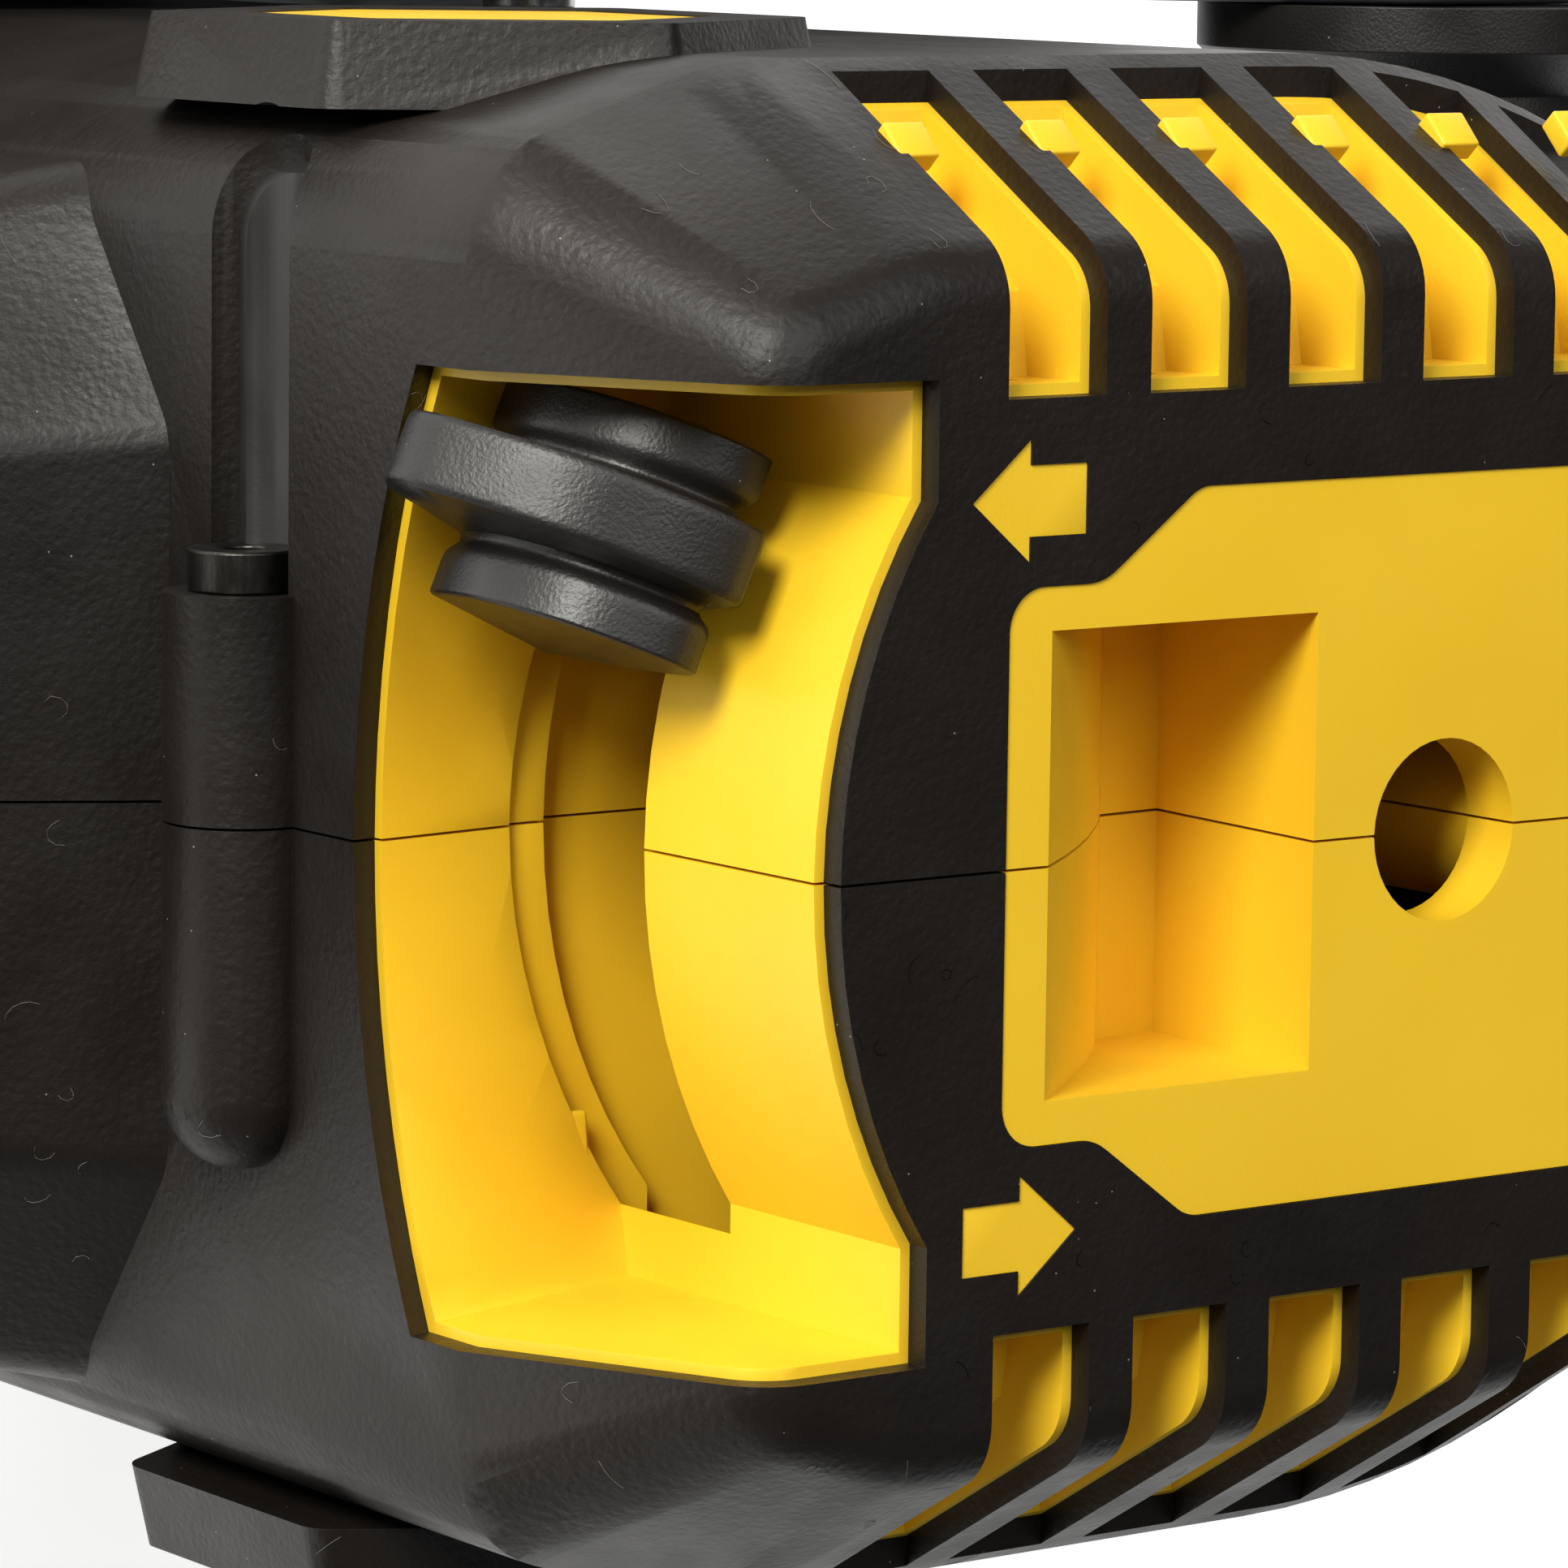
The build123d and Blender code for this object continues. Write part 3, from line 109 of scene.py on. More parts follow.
def spread(tree, value, low, high, to_low, to_high):
    """Maps a value's band to another band."""
    settings = {"From Min": low, "From Max": high, "To Min": to_low, "To Max": to_high}
    return add(tree, "ShaderNodeMapRange", settings, {"Value": value}).outputs["Result"]


def uneven(tree, shader, value, low, high):
    """Lets a pattern move the shader's roughness between two values."""
    tree.links.new(spread(tree, value, 0.3, 0.7, low, high), shader.inputs["Roughness"])


def blend(tree, factor, first, second):
    """Mixes two colours; each is a hex code or a socket."""
    node = add(tree, "ShaderNodeMix", {"data_type": "RGBA"})
    tree.links.new(factor, node.inputs["Factor"])
    for index, value in ((6, first), (7, second)):
        if isinstance(value, str):
            node.inputs[index].default_value = colour(value)
        else:
            tree.links.new(value, node.inputs[index])
    return node.outputs[2]


def arithmetic(tree, operation, first, second=None, third=None):
    """One math node; arguments are numbers or sockets."""
    node = add(tree, "ShaderNodeMath", {"operation": operation})
    for index, value in enumerate((first, second, third)):
        if value is None:
            continue
        if isinstance(value, (int, float)):
            node.inputs[index].default_value = value
        else:
            tree.links.new(value, node.inputs[index])
    return node.outputs[0]


def bump(tree, shader, layers):
    """Stacks height layers (socket, depth in mm, strength) into the shader's normal."""
    normal = None
    for height, depth, strength in layers:
        links = {"Height": height}
        if normal:
            links["Normal"] = normal
        node = add(tree, "ShaderNodeBump", {"Distance": depth * MM, "Strength": strength}, links)
        normal = node.outputs["Normal"]
    tree.links.new(normal, shader.inputs["Normal"])


def distance_from(tree, place, x, z):
    """Distance in metres from a line parallel to Y."""
    parts = add(tree, "ShaderNodeSeparateXYZ", links={"Vector": place})
    across = arithmetic(tree, "SUBTRACT", parts.outputs["X"], x)
    up = arithmetic(tree, "SUBTRACT", parts.outputs["Z"], z)
    squares = arithmetic(tree, "ADD", arithmetic(tree, "MULTIPLY", across, across),
                         arithmetic(tree, "MULTIPLY", up, up))
    return arithmetic(tree, "SQRT", squares), parts


def specks(tree, place, spacing_mm, size):
    """1 at sparse dust specks, 0 elsewhere: a small share of the cells holds one."""
    cells = add(tree, "ShaderNodeTexVoronoi", {"Scale": 1.0 / (spacing_mm * MM)}, {"Vector": place})
    near = arithmetic(tree, "LESS_THAN", cells.outputs["Distance"], size)
    parts = add(tree, "ShaderNodeSeparateColor", links={"Color": cells.outputs["Color"]})
    chosen = arithmetic(tree, "GREATER_THAN", parts.outputs[0], 0.72)
    return arithmetic(tree, "MULTIPLY", near, chosen)


def plastic(name, base, dark, rough, grain, grain_depth, dust="#B9B2A4", dust_size=0.05, lit=0.0):
    """A moulded plastic: slow colour drift, grain from the mould, rubbed patches and a little dust."""
    material, tree, shader, place = blank(name)
    drift = noise(tree, place, 28.0, 2.0)
    tone = blend(tree, spread(tree, drift, 0.3, 0.7, 0.0, 1.0), base, dark)
    dusty = specks(tree, place, 1.6, dust_size)
    tone = blend(tree, arithmetic(tree, "MULTIPLY", dusty, 0.55), tone, dust)
    tree.links.new(tone, shader.inputs["Base Color"])
    rubbed = noise(tree, place, 9.0, 4.0)
    uneven(tree, shader, rubbed, rough - 0.06, rough + 0.07)
    fine = noise(tree, place, grain, 2.0, 0.5)
    flow = noise(tree, place, 14.0, 1.0)
    bump(tree, shader, [(flow, 0.25, 0.25), (fine, grain_depth, 0.8)])
    if lit:
        shader.inputs["Subsurface Weight"].default_value = lit
        shader.inputs["Subsurface Radius"].default_value = (1.0, 0.42, 0.08)
        shader.inputs["Subsurface Scale"].default_value = 1.6 * MM
    return material, tree, shader, place, tone


def moulded_yellow():
    """Injection-moulded yellow nylon: warm satin, light soaks in so that deep places turn orange."""
    made = plastic("yellow nylon, injection moulded", "#F0C529", "#EBBD24", 0.42, 0.35, 0.012,
                   dust="#8A6A1C", dust_size=0.02, lit=0.10)
    material, tree, shader, place, tone = made
    # Inside the screwdriver groove the yellow is coloured near-black.
    reach, parts = distance_from(tree, place, *GROOVE)
    inside = arithmetic(tree, "LESS_THAN", reach, GROOVE_REACH)
    side = arithmetic(tree, "GREATER_THAN", parts.outputs["Y"], GROOVE_START_Y)
    tree.links.new(blend(tree, arithmetic(tree, "MULTIPLY", inside, side), tone, "#161412"),
                   shader.inputs["Base Color"])
    return material


def overmoulded_rubber():
    """Soft rubber moulded over the shell: deep grey-black, fine leather grain that breaks up highlights."""
    made = plastic("black rubber, overmoulded with spark-eroded grain", "#18120E", "#110D0A",
                   0.45, 0.42, 0.11, dust="#A39C90", dust_size=0.045)
    material, tree, shader, place, tone = made
    cells = add(tree, "ShaderNodeTexVoronoi", {"Scale": 1.0 / (0.62 * MM), "feature": "SMOOTH_F1"},
                {"Vector": place})
    fine = noise(tree, place, 0.33, 2.0)
    flow = noise(tree, place, 16.0, 1.0)
    shader.inputs["Specular IOR Level"].default_value = 0.36
    leather = cells.outputs["Distance"]
    bump(tree, shader, [(flow, 0.3, 0.2), (leather, 0.10, 0.42), (fine, 0.06, 0.5)])
    return material


def cast_metal():
    """Die-cast aluminium, shot-blasted: pale grey with darker patches at random, tiny pits."""
    material, tree, shader, place = blank("aluminium, die cast and shot blasted")
    shader.inputs["Metallic"].default_value = 1.0
    patches = spread(tree, noise(tree, place, 12.0, 5.0), 0.35, 0.7, 0.0, 1.0)
    tone = blend(tree, patches, "#A9ABAD", "#8B8D90")
    tree.links.new(tone, shader.inputs["Base Color"])
    uneven(tree, shader, noise(tree, place, 3.0, 4.0), 0.38, 0.56)
    waves = noise(tree, place, 8.0, 2.0)
    pits = noise(tree, place, 0.5, 3.0)
    bump(tree, shader, [(waves, 0.3, 0.3), (pits, 0.08, 0.7)])
    return material


def powder_coat():
    """Powder-coated steel sheet: charcoal with orange-peel ripple and pale scuffs on the rubbed places."""
    material, tree, shader, place = blank("steel sheet, powder coated charcoal")
    scuffs = noise(tree, place, 6.0, 8.0, 0.7, (1.0, 1.0, 3.5))
    worn = spread(tree, scuffs, 0.66, 0.74, 0.0, 0.5)
    tree.links.new(blend(tree, worn, "#26272A", "#6D6C69"), shader.inputs["Base Color"])
    uneven(tree, shader, noise(tree, place, 7.0, 3.0), 0.36, 0.55)
    peel = noise(tree, place, 1.8, 1.0)
    fine = noise(tree, place, 0.4, 2.0)
    bump(tree, shader, [(peel, 0.09, 0.6), (fine, 0.02, 0.5)])
    return material


def plated_steel(name, stretch, tone_a, tone_b, low, high):
    """Turned or rolled steel: fine lines along one way, bright and a little uneven."""
    material, tree, shader, place = blank(name)
    shader.inputs["Metallic"].default_value = 1.0
    lines = noise(tree, place, 1.2, 5.0, 0.6, stretch)
    tree.links.new(blend(tree, spread(tree, lines, 0.3, 0.7, 0.0, 1.0), tone_a, tone_b),
                   shader.inputs["Base Color"])
    stain = noise(tree, place, 5.0, 3.0)
    uneven(tree, shader, stain, low, high)
    bump(tree, shader, [(lines, 0.02, 0.5), (stain, 0.05, 0.2)])
    return material


def diamond_disc():
    """Ground disc steel with ring-shaped grinding lines, blued and darker towards the rim by heat."""
    material, tree, shader, place = blank("disc steel, ground, heat-tinted rim")
    shader.inputs["Metallic"].default_value = 1.0
    reach, parts = distance_from(tree, place, 0.0, SPINDLE_Z)
    rings = add(tree, "ShaderNodeTexNoise", {"Scale": 1.0, "noise_dimensions": "1D", "Detail": 4.0},
                {"W": arithmetic(tree, "MULTIPLY", reach, 900.0)}).outputs["Fac"]
    rim = spread(tree, reach, 0.060, 0.076, 0.0, 1.0)
    base = blend(tree, spread(tree, rings, 0.3, 0.7, 0.0, 1.0), "#B4B6B8", "#8F9193")
    tree.links.new(blend(tree, rim, base, "#6A5F55"), shader.inputs["Base Color"])
    uneven(tree, shader, rings, 0.24, 0.42)
    bump(tree, shader, [(rings, 0.02, 0.5)])
    return material


def sintered_diamond():
    """Sintered bronze with diamond grit: dull brown-grey, coarse and glittering."""
    material, tree, shader, place = blank("bronze and diamond grit, sintered")
    shader.inputs["Metallic"].default_value = 0.6
    grit = add(tree, "ShaderNodeTexVoronoi", {"Scale": 1.0 / (0.5 * MM)}, {"Vector": place})
    glint = spread(tree, grit.outputs["Distance"], 0.1, 0.6, 1.0, 0.0)
    tree.links.new(blend(tree, glint, "#4A4038", "#A39A86"), shader.inputs["Base Color"])
    uneven(tree, shader, noise(tree, place, 0.7, 3.0), 0.45, 0.7)
    bump(tree, shader, [(grit.outputs["Distance"], 0.15, 0.8)])
    return material


def laminated_steel():
    """Stacked varnished steel sheets: a thin dark line every millimetre up the stack."""
    material, tree, shader, place = blank("electrical steel, stacked and varnished")
    shader.inputs["Metallic"].default_value = 0.8
    sheets = {"Scale": 1.0 / (3.2 * MM), "bands_direction": "Z", "Distortion": 0.3}
    wave = add(tree, "ShaderNodeTexWave", sheets, {"Vector": place})
    tree.links.new(blend(tree, wave.outputs["Fac"], "#2A2622", "#6E6961"), shader.inputs["Base Color"])
    uneven(tree, shader, noise(tree, place, 4.0, 3.0), 0.35, 0.5)
    bump(tree, shader, [(wave.outputs["Fac"], 0.06, 0.6)])
    return material


def enamelled_copper():
    """Enamelled copper wire side by side: amber-red, glossy, with a groove between turns."""
    material, tree, shader, place = blank("copper wire, enamelled and wound")
    shader.inputs["Metallic"].default_value = 0.9
    turns = {"Scale": 1.0 / (4.2 * MM), "Distortion": 2.0, "Detail": 1.0}
    wave = add(tree, "ShaderNodeTexWave", turns, {"Vector": place})
    tree.links.new(blend(tree, wave.outputs["Fac"], "#6A2E12", "#C0672E"), shader.inputs["Base Color"])
    uneven(tree, shader, noise(tree, place, 3.0, 2.0), 0.22, 0.36)
    bump(tree, shader, [(wave.outputs["Fac"], 0.2, 0.7)])
    return material


def studio_paper():
    """Matt white paper with hardly visible fibre, so the machine's shadow reads softly."""
    material, tree, shader, place = blank("white studio paper, matt")
    drift = spread(tree, noise(tree, place, 60.0, 3.0), 0.3, 0.7, 0.0, 1.0)
    tone = blend(tree, drift, "#FFFFFF", "#FAFAF8")
    tree.links.new(tone, shader.inputs["Base Color"])
    tree.links.new(tone, shader.inputs["Emission Color"])
    shader.inputs["Emission Strength"].default_value = 0.7
    uneven(tree, shader, noise(tree, place, 8.0, 3.0), 0.8, 0.95)
    bump(tree, shader, [(noise(tree, place, 1.5, 4.0), 0.05, 0.2)])
    return material


def plain_plastic(*settings, **more):
    """A moulded plastic with no special place in it."""
    return plastic(*settings, **more)[0]


MATERIALS = {
    "yellow_plastic": moulded_yellow(),
    "black_rubber": overmoulded_rubber(),
    # Glass-filled nylon: nearly black, satin, finer grain than the rubber, so edges shine cleanly.
    "black_plastic": plain_plastic("black nylon, glass filled, fine grain", "#171412", "#110F0E",
                                   0.40, 0.30, 0.05),
    "cast_aluminium": cast_metal(),
    "coated_guard": powder_coat(),
    # Turned steel: bright zinc, with the lathe's lines across its length.
    "bright_steel": plated_steel("steel, turned and zinc plated", (1.0, 1.0, 6.0),
                                 "#BDBEBC", "#9A9B98", 0.2, 0.38),
    # Rolled sheet: duller zinc, with the mill's long lines.
    "shoe_steel": plated_steel("steel sheet, cold rolled and zinc plated", (0.3, 5.0, 5.0),
                               "#A7A9A9", "#87898A", 0.3, 0.5),
    "disc_steel": diamond_disc(),
    "core_steel": laminated_steel(),
    "copper": enamelled_copper(),
    # Pressed carbon: matt near-black with grey rubbed patches.
    "carbon": plain_plastic("carbon, pressed", "#1B1B1C", "#2A2A2B", 0.55, 0.5, 0.05),
    # Nylon rollers: dark grey, waxy, dusted by masonry.
    "roller_plastic": plain_plastic("nylon, turned, dusty", "#2B2A29", "#3A3734",
                                    0.45, 0.4, 0.04, dust_size=0.12),
    # Red button plastic: clean satin red that stands out from the black.
    "red_plastic": plain_plastic("red acetal, injection moulded", "#A8201A", "#8E1A15",
                                 0.33, 0.35, 0.02),
}
DIAMOND = sintered_diamond()
# Blackened screws: dark oxide that still shows the turned metal as a dull gleam.
BLACKED = plated_steel("steel, turned and blackened", (1.0, 1.0, 6.0), "#4A4845", "#35332F",
                       0.3, 0.45)
PAPER = studio_paper()


# ---- Pieces ----
def finished(mesh, name, node, material):
    """Puts a mesh in the scene as the visible form of a node, or as an added detail of its body."""
    piece = bpy.data.objects.new(name, mesh)
    bpy.context.scene.collection.objects.link(piece)
    if not mesh.materials:
        mesh.materials.append(material)
    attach(piece, BODY_OF[node])
    return piece


def clean_copy(node):
    """The node's own mesh with its loose triangles joined and flat areas made whole."""
    source = frame["nodes"][node]
    made = bmesh.new()
    made.from_mesh(source.data)
    made.transform(source.matrix_world)
    bmesh.ops.remove_doubles(made, verts=made.verts, dist=WELD)
    if node == "changeover_lever":
        # The lever's plain knob makes way for the fluted one.
        knob = [face for face in made.faces if face.calc_center_median().xy.length > KNOB_START]
        bmesh.ops.delete(made, geom=knob, context="FACES")
    bmesh.ops.dissolve_limit(made, angle_limit=FLAT, verts=made.verts, edges=made.edges)
    bmesh.ops.recalc_face_normals(made, faces=made.faces)
    mesh = bpy.data.meshes.new(f"{node}_surface")
    made.to_mesh(mesh)
    made.free()
    return mesh


def evaluated(holder, name):
    """The plain mesh of an object with its modifiers worked out; the holder goes away."""
    graph = bpy.context.evaluated_depsgraph_get()
    mesh = bpy.data.meshes.new_from_object(holder.evaluated_get(graph))
    mesh.name = name
    bpy.data.objects.remove(holder)
    return mesh


# Edge radius in mm for each piece whose edges catch the light
SOFT_EDGE = {
    "left_grip_skin": 0.45, "right_grip_skin": 0.45, "left_shell": 0.35, "right_shell": 0.35,
    "changeover_lever": 0.9, "gear_housing": 0.8, "bearing_cover": 0.6, "guard": 0.5, "guard_cover": 0.8,
    "shoe": 0.6, "front_grip": 0.8, "trigger": 0.8, "depth_dial": 0.6, "dust_spout": 0.5, "cable_inlet": 0.5,
    "spindle_lock_button": 0.6, "lock_on_button": 0.5, "handle_bracket": 0.6, "front_rollers": 0.6,
    "rear_rollers": 0.6, "flange_nut": 0.4, "casing_screws": 0.25, "cover_screws": 0.3, "guard_screws": 0.3,
    "flange_screws": 0.3, "front_grip_bolt": 0.4, "pivot_pin": 0.5, "roller_axles": 0.3,
}


def refine(node):
    """A node's visible form: joined, with rounded edges and smooth curved faces."""
    mesh = clean_copy(node)
    radius = SOFT_EDGE.get(node, 0.15)
    mesh.shade_smooth()
    mesh.set_sharp_from_angle(angle=SHARP)
    holder = bpy.data.objects.new("holder", mesh)
    bpy.context.scene.collection.objects.link(holder)
    edges = holder.modifiers.new("edges", "BEVEL")
    edges.width = radius * MM
    edges.segments = 3
    edges.limit_method = "ANGLE"
    edges.angle_limit = ROUNDED
    edges.use_clamp_overlap = True
    edges.harden_normals = True
    mesh = evaluated(holder, f"{node}_surface")
    material = BLACKED if node == "casing_screws" else MATERIALS[SLOT_OF[node]]
    piece = finished(mesh, f"{node}_surface", node, material)
    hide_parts(node)
    return piece


def socket_id(tree, name):
    """Identifier of a tree's input, for setting it on a modifier."""
    return next(item.identifier for item in tree.interface.items_tree if item.name == name)


def new_tree(name, **inputs):
    """An empty geometry tree with named inputs, and the sockets that give them."""
    tree = bpy.data.node_groups.new(name, "GeometryNodeTree")
    tree.interface.new_socket("Geometry", in_out="OUTPUT", socket_type="NodeSocketGeometry")
    for label, kind in inputs.items():
        tree.interface.new_socket(label, in_out="INPUT", socket_type=f"NodeSocket{kind}")
    return tree, tree.nodes.new("NodeGroupInput").outputs


def copies(tree, points, block, rotation):
    """One block on every point, made real."""
    links = {"Points": points, "Instance": block, "Rotation": rotation}
    put = add(tree, "GeometryNodeInstanceOnPoints", links=links)
    return add(tree, "GeometryNodeRealizeInstances", links={"Geometry": put.outputs[0]}).outputs[0]


def painted(tree, geometry, given):
    """Ends a tree with its material and its output."""
    links = {"Geometry": geometry, "Material": given["Material"]}
    add(tree, "NodeGroupOutput", links={0: add(tree, "GeometryNodeSetMaterial", links=links).outputs[0]})
    return tree


def ring_tree():
    """Geometry tree: blocks in a ring about Y, for the rim of a sawing disc."""
    tree, given = new_tree("blocks in a ring", Count="Int", Radius="Float", Block="Vector",
                           Centre="Vector", Material="Material")
    circle = add(tree, "GeometryNodeMeshCircle",
                 links={"Vertices": given["Count"], "Radius": given["Radius"]})
    where = add(tree, "GeometryNodeInputPosition").outputs[0]
    turn = add(tree, "FunctionNodeAlignEulerToVector", {"axis": "X"}, {"Vector": where})
    block = add(tree, "GeometryNodeMeshCube", links={"Size": given["Block"]})
    solid = copies(tree, circle.outputs[0], block.outputs[0], turn.outputs[0])
    move = add(tree, "GeometryNodeTransform", {"Rotation": (math.pi / 2, 0.0, 0.0)},
               {"Geometry": solid, "Translation": given["Centre"]})
    return painted(tree, move.outputs[0], given)


def row_tree():
    """Geometry tree: tilted blocks in a straight row."""
    tree, given = new_tree("blocks in a row", Count="Int", Start="Vector", Step="Vector",
                           Block="Vector", Tilt="Vector", Material="Material")
    line = add(tree, "GeometryNodeMeshLine",
               links={"Count": given["Count"], "Start Location": given["Start"], "Offset": given["Step"]})
    block = add(tree, "GeometryNodeMeshCube", links={"Size": given["Block"]})
    return painted(tree, copies(tree, line.outputs[0], block.outputs[0], given["Tilt"]), given)


def grown(tree, name, node, bevel_mm, inputs):
    """Runs a geometry tree once and keeps its result as a piece on the node's body."""
    holder = bpy.data.objects.new("holder", bpy.data.meshes.new("holder"))
    bpy.context.scene.collection.objects.link(holder)
    modifier = holder.modifiers.new("blocks", "NODES")
    modifier.node_group = tree
    for key, value in inputs.items():
        modifier[socket_id(tree, key)] = value
    rounded = holder.modifiers.new("edges", "BEVEL")
    rounded.width = bevel_mm * MM
    rounded.segments = 3
    mesh = evaluated(holder, name)
    mesh.shade_smooth()
    mesh.set_sharp_from_angle(angle=SHARP)
    return finished(mesh, name, node, MATERIALS[SLOT_OF[node]])


def along(points, count):
    """Evenly spaced points on a smooth line through the given (distance, height) points."""
    ends = [points[0]] + list(points) + [points[-1]]
    dense = []
    for a, b, c, d in zip(ends, ends[1:], ends[2:], ends[3:]):
        for step in range(12):
            t = step / 12.0
            dense.append(tuple(
                0.5 * (2 * q + (r - p) * t + (2 * p - 5 * q + 4 * r - s) * t * t
                       + (3 * q - p - 3 * r + s) * t ** 3)
                for p, q, r, s in zip(a, b, c, d)))
    dense.append(points[-1])
    lengths = [0.0]
    for a, b in zip(dense, dense[1:]):
        lengths.append(lengths[-1] + math.dist(a, b))
    spaced = []
    index = 0
    for step in range(count):
        want = lengths[-1] * step / (count - 1)
        while index < len(dense) - 2 and lengths[index + 1] < want:
            index += 1
        share = (want - lengths[index]) / max(lengths[index + 1] - lengths[index], 1e-9)
        spaced.append(tuple(p + (q - p) * share for p, q in zip(dense[index], dense[index + 1])))
    return spaced


CAP_Z = 300.0
KNOB_HALF = 7.8
LEVER_REST = math.radians(24.0)
# Side views of the knob, as distance from the motor's axis and depth below the cap, in mm
KNOB_SIDE = [(60.4, 28.2), (61.3, 24.5), (61.0, 20.5), (58.4, 15.4), (54.4, 12.3), (50.4, 11.4), (48.6, 13.0),
             (48.2, 20.0), (48.2, 30.2)]
KNOB_RIB = [(67.0, 27.6), (68.6, 25.4), (68.0, 22.0), (63.2, 15.0), (57.0, 10.8), (50.8, 9.2), (48.7, 10.2),
            (48.4, 14.5), (48.4, 29.6)]


def fluted_knob():
    """The lever's thumb knob: a long rib between two lower ones, with flutes between and rounded cheeks."""
    columns = 40
    side = along(KNOB_SIDE, columns)
    rib = along(KNOB_RIB, columns)
    middle = (55.5, 22.0)
    rows = []
    rings = 81
    for row in range(rings):
        share = 2.0 * row / (rings - 1) - 1.0
        across_mm = KNOB_HALF * (1.5 * share - 0.5 * share ** 3)
        away = abs(across_mm)
        rise = min(max((3.1 - away) / 0.55, 0.0), 1.0)
        rise = rise * rise * (3.0 - 2.0 * rise)
        flute = 0.10 * math.exp(-((away - 3.6) / 0.7) ** 2)
        cheek = min(max((away - 7.5) / (KNOB_HALF - 7.5), 0.0), 1.0)
        inset = 1.0 - flute - 0.09 * (1.0 - math.sqrt(1.0 - cheek * cheek))
        line = []
        for (a_r, a_d), (b_r, b_d) in zip(side, rib):
            r = a_r + (b_r - a_r) * rise
            d = a_d + (b_d - a_d) * rise
            r = middle[0] + (r - middle[0]) * inset
            d = middle[1] + (d - middle[1]) * inset
            line.append(Vector((-r * MM, across_mm * MM, (CAP_Z - d) * MM)))
        rows.append(line)
    made = bmesh.new()
    grid = [[made.verts.new(point) for point in line] for line in rows]
    for first, second in zip(grid, grid[1:]):
        for index in range(columns):
            after = (index + 1) % columns
            made.faces.new((first[index], first[after], second[after], second[index]))
    made.faces.new(grid[0])
    made.faces.new(list(reversed(grid[-1])))
    bmesh.ops.recalc_face_normals(made, faces=made.faces)
    made.transform(Matrix.Rotation(-LEVER_REST, 4, "Z"))
    mesh = bpy.data.meshes.new("thumb_knob")
    made.to_mesh(mesh)
    made.free()
    mesh.shade_smooth()
    mesh.set_sharp_from_angle(angle=math.radians(50.0))
    return finished(mesh, "thumb_knob", "changeover_lever", MATERIALS["black_plastic"])


for node in frame["nodes"]:
    refine(node)
fluted_knob()

RING = ring_tree()
for node, y in (("inner_disc", 0.072), ("outer_disc", 0.104)):
    grown(RING, f"{node}_segments", node, 0.25, {
        "Count": 16, "Radius": 0.0765, "Block": (0.0065, 0.0245, 0.0030),
        "Centre": (0.0, y, SPINDLE_Z), "Material": DIAMOND,
    })

ROW = row_tree()
grown(ROW, "vent_tabs", "left_shell", 0.2, {
    "Count": 6, "Start": (-0.0303, 0.0476, 0.2872), "Step": (0.01213, 0.0, 0.0),
    "Block": (0.0034, 0.0030, 0.0018), "Tilt": (-0.75, 0.0, 0.0),
    "Material": MATERIALS["yellow_plastic"],
})
grown(ROW, "recess_square", "right_shell", 0.3, {
    "Count": 1, "Start": (-0.0434, -0.0224, 0.2652), "Step": (0.01, 0.0, 0.0),
    "Block": (0.0058, 0.0040, 0.0011), "Tilt": (-0.11, 0.0, 0.0),
    "Material": MATERIALS["yellow_plastic"],
})


def cotton_lint():
    """Loose lint: grey-white cotton fibres, matt, darker in places."""
    material, tree, shader, place = blank("cotton lint, loose")
    tone = blend(tree, noise(tree, place, 0.4, 2.0), "#57534C", "#97928A")
    tree.links.new(tone, shader.inputs["Base Color"])
    uneven(tree, shader, noise(tree, place, 0.2, 2.0), 0.7, 0.9)
    bump(tree, shader, [(noise(tree, place, 0.05, 2.0), 0.01, 0.5)])
    return material


def lint(name, skin, count, seed):
    """Short curled fibres lying on the upper side of a skin."""
    surface = bpy.data.objects[skin]
    tree = BVHTree.FromPolygons([v.co for v in surface.data.vertices],
                                [list(face.vertices) for face in surface.data.polygons])
    chance = random.Random(seed)
    low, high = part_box(skin.replace("_surface", ""))
    made = bmesh.new()
    laid = 0
    while laid < count:
        start = Vector((chance.uniform(-0.075, 0.06), chance.uniform(low[1], high[1]), 0.31))
        heading = chance.uniform(0.0, math.tau)
        curl = chance.uniform(-1.1, 1.1)
        step = chance.uniform(0.25, 0.6) * MM
        line = []
        for _ in range(6):
            hit, normal, _, _ = tree.ray_cast(start, Vector((0.0, 0.0, -1.0)))
            if hit is None or normal.z < 0.25:
                break
            line.append(hit + normal * 0.05 * MM)
            start = start + Vector((math.cos(heading), math.sin(heading), 0.0)) * step
            heading += curl * chance.uniform(0.5, 1.2)
        if len(line) < 6 or max(abs(a.z - b.z) for a, b in zip(line, line[1:])) > MM:
            continue
        laid += 1
        loops = []
        for point in line:
            corners = [Vector((math.cos(a), math.sin(a), 0.4)) * 0.02 * MM for a in (0.0, 2.1, 4.2)]
            loops.append([made.verts.new(point + corner) for corner in corners])
        for a, b in zip(loops, loops[1:]):
            for index in range(3):
                other = (index + 1) % 3
                made.faces.new((a[index], a[other], b[other], b[index]))
        made.faces.new(loops[0])
        made.faces.new(list(reversed(loops[-1])))
    bmesh.ops.recalc_face_normals(made, faces=made.faces)
    mesh = bpy.data.meshes.new(name)
    made.to_mesh(mesh)
    made.free()
    mesh.materials.append(LINT)
    mesh.shade_smooth()
    finished(mesh, name, skin.replace("_surface", ""), LINT)


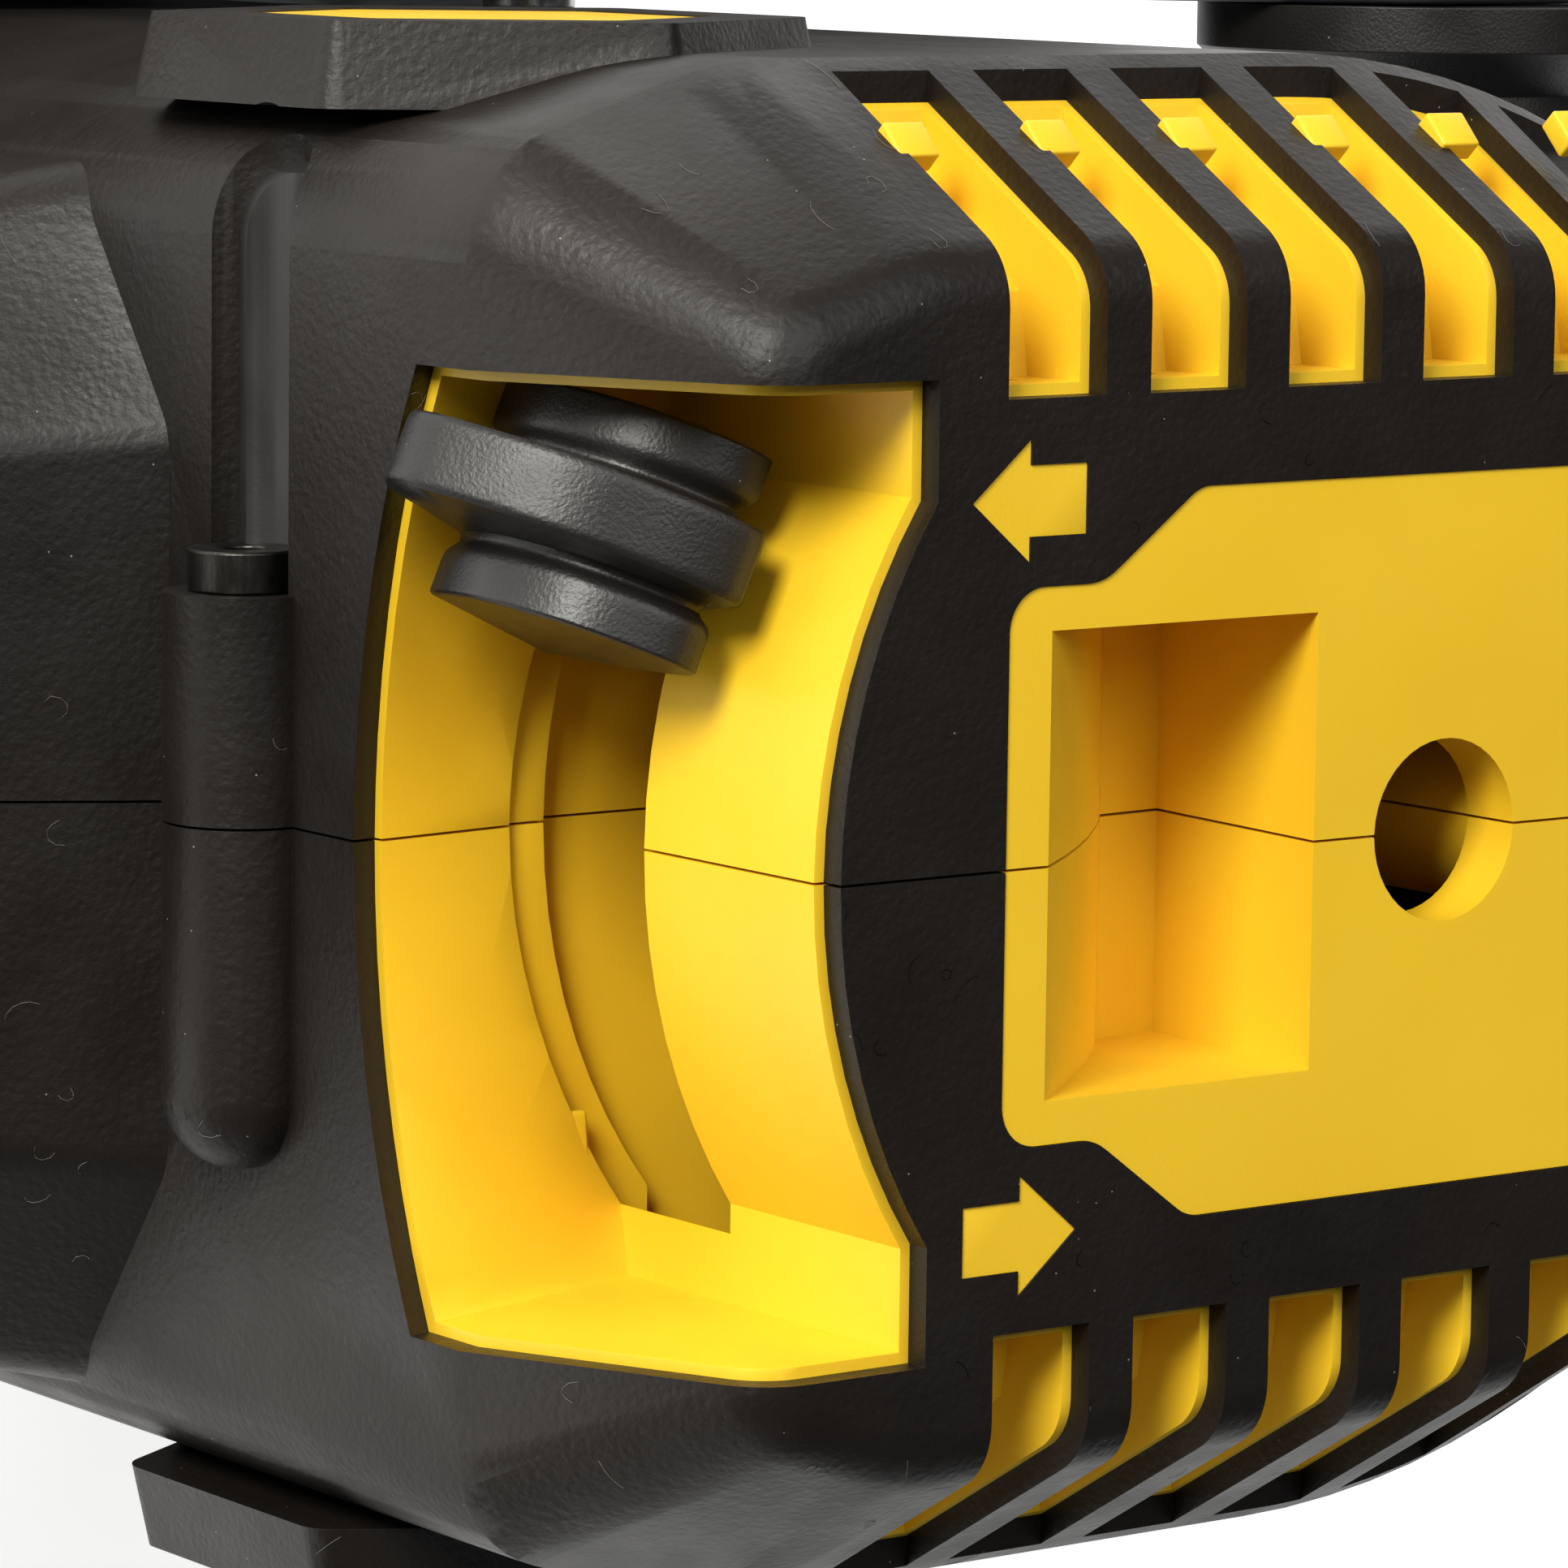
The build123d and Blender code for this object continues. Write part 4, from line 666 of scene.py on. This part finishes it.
LINT = cotton_lint()
lint("lint_on_left_skin", "left_grip_skin_surface", 34, 3)
lint("lint_on_right_skin", "right_grip_skin_surface", 52, 8)

# ---- Floor, light and camera ----
floor_mesh = bpy.data.meshes.new("studio_floor")
REACH = 6.0
corners = [(-REACH, -REACH, 0), (REACH, -REACH, 0), (REACH, REACH, 0), (-REACH, REACH, 0)]
floor_mesh.from_pydata(corners, [], [(0, 1, 2, 3)])
floor_mesh.materials.append(PAPER)
floor = bpy.data.objects.new("studio_floor", floor_mesh)
bpy.context.scene.collection.objects.link(floor)


def lamp(name, place, size, power, tint="#FFFFFF"):
    """A soft square light aimed at the motor cap."""
    light = bpy.data.lights.new(name, "AREA")
    light.shape = "SQUARE"
    light.size = size
    light.energy = power
    light.color = colour(tint)[:3]
    holder = bpy.data.objects.new(name, light)
    bpy.context.scene.collection.objects.link(holder)
    holder.location = place
    aim = Vector((-0.02, 0.0, 0.26)) - Vector(place)
    holder.rotation_euler = aim.to_track_quat("-Z", "Y").to_euler()


lamp("key", (-0.99, 0.82, 0.86), 0.5, 26.0, "#FFFCF4")
lamp("top", (0.05, 0.75, 1.5), 0.9, 9.5)
lamp("side", (-0.4, -1.4, 0.9), 1.0, 0.8)
world = bpy.data.worlds.new("studio")
bpy.context.scene.world = world
world.use_nodes = True
world.node_tree.nodes["Background"].inputs["Color"].default_value = colour("#F4F6FA")
world.node_tree.nodes["Background"].inputs["Strength"].default_value = 0.09
bpy.context.scene.view_settings.view_transform = "Standard"

EYE = (-0.33006, 0.06877, 0.67792)
YAW, PITCH, ROLL = 0.6388705, 0.1301788, -0.0126073
lens = bpy.data.cameras.new("camera")
lens.sensor_width = 36.0
lens.lens = 167.7
lens.clip_start = 0.01
camera = bpy.data.objects.new("camera", lens)
bpy.context.scene.collection.objects.link(camera)
turned = Matrix.Rotation(ROLL, 3, "Z") @ Matrix.Rotation(PITCH, 3, "X") @ Matrix.Rotation(YAW, 3, "Y")
camera.matrix_world = Matrix.Translation(EYE) @ turned.transposed().to_4x4()
bpy.context.scene.camera = camera
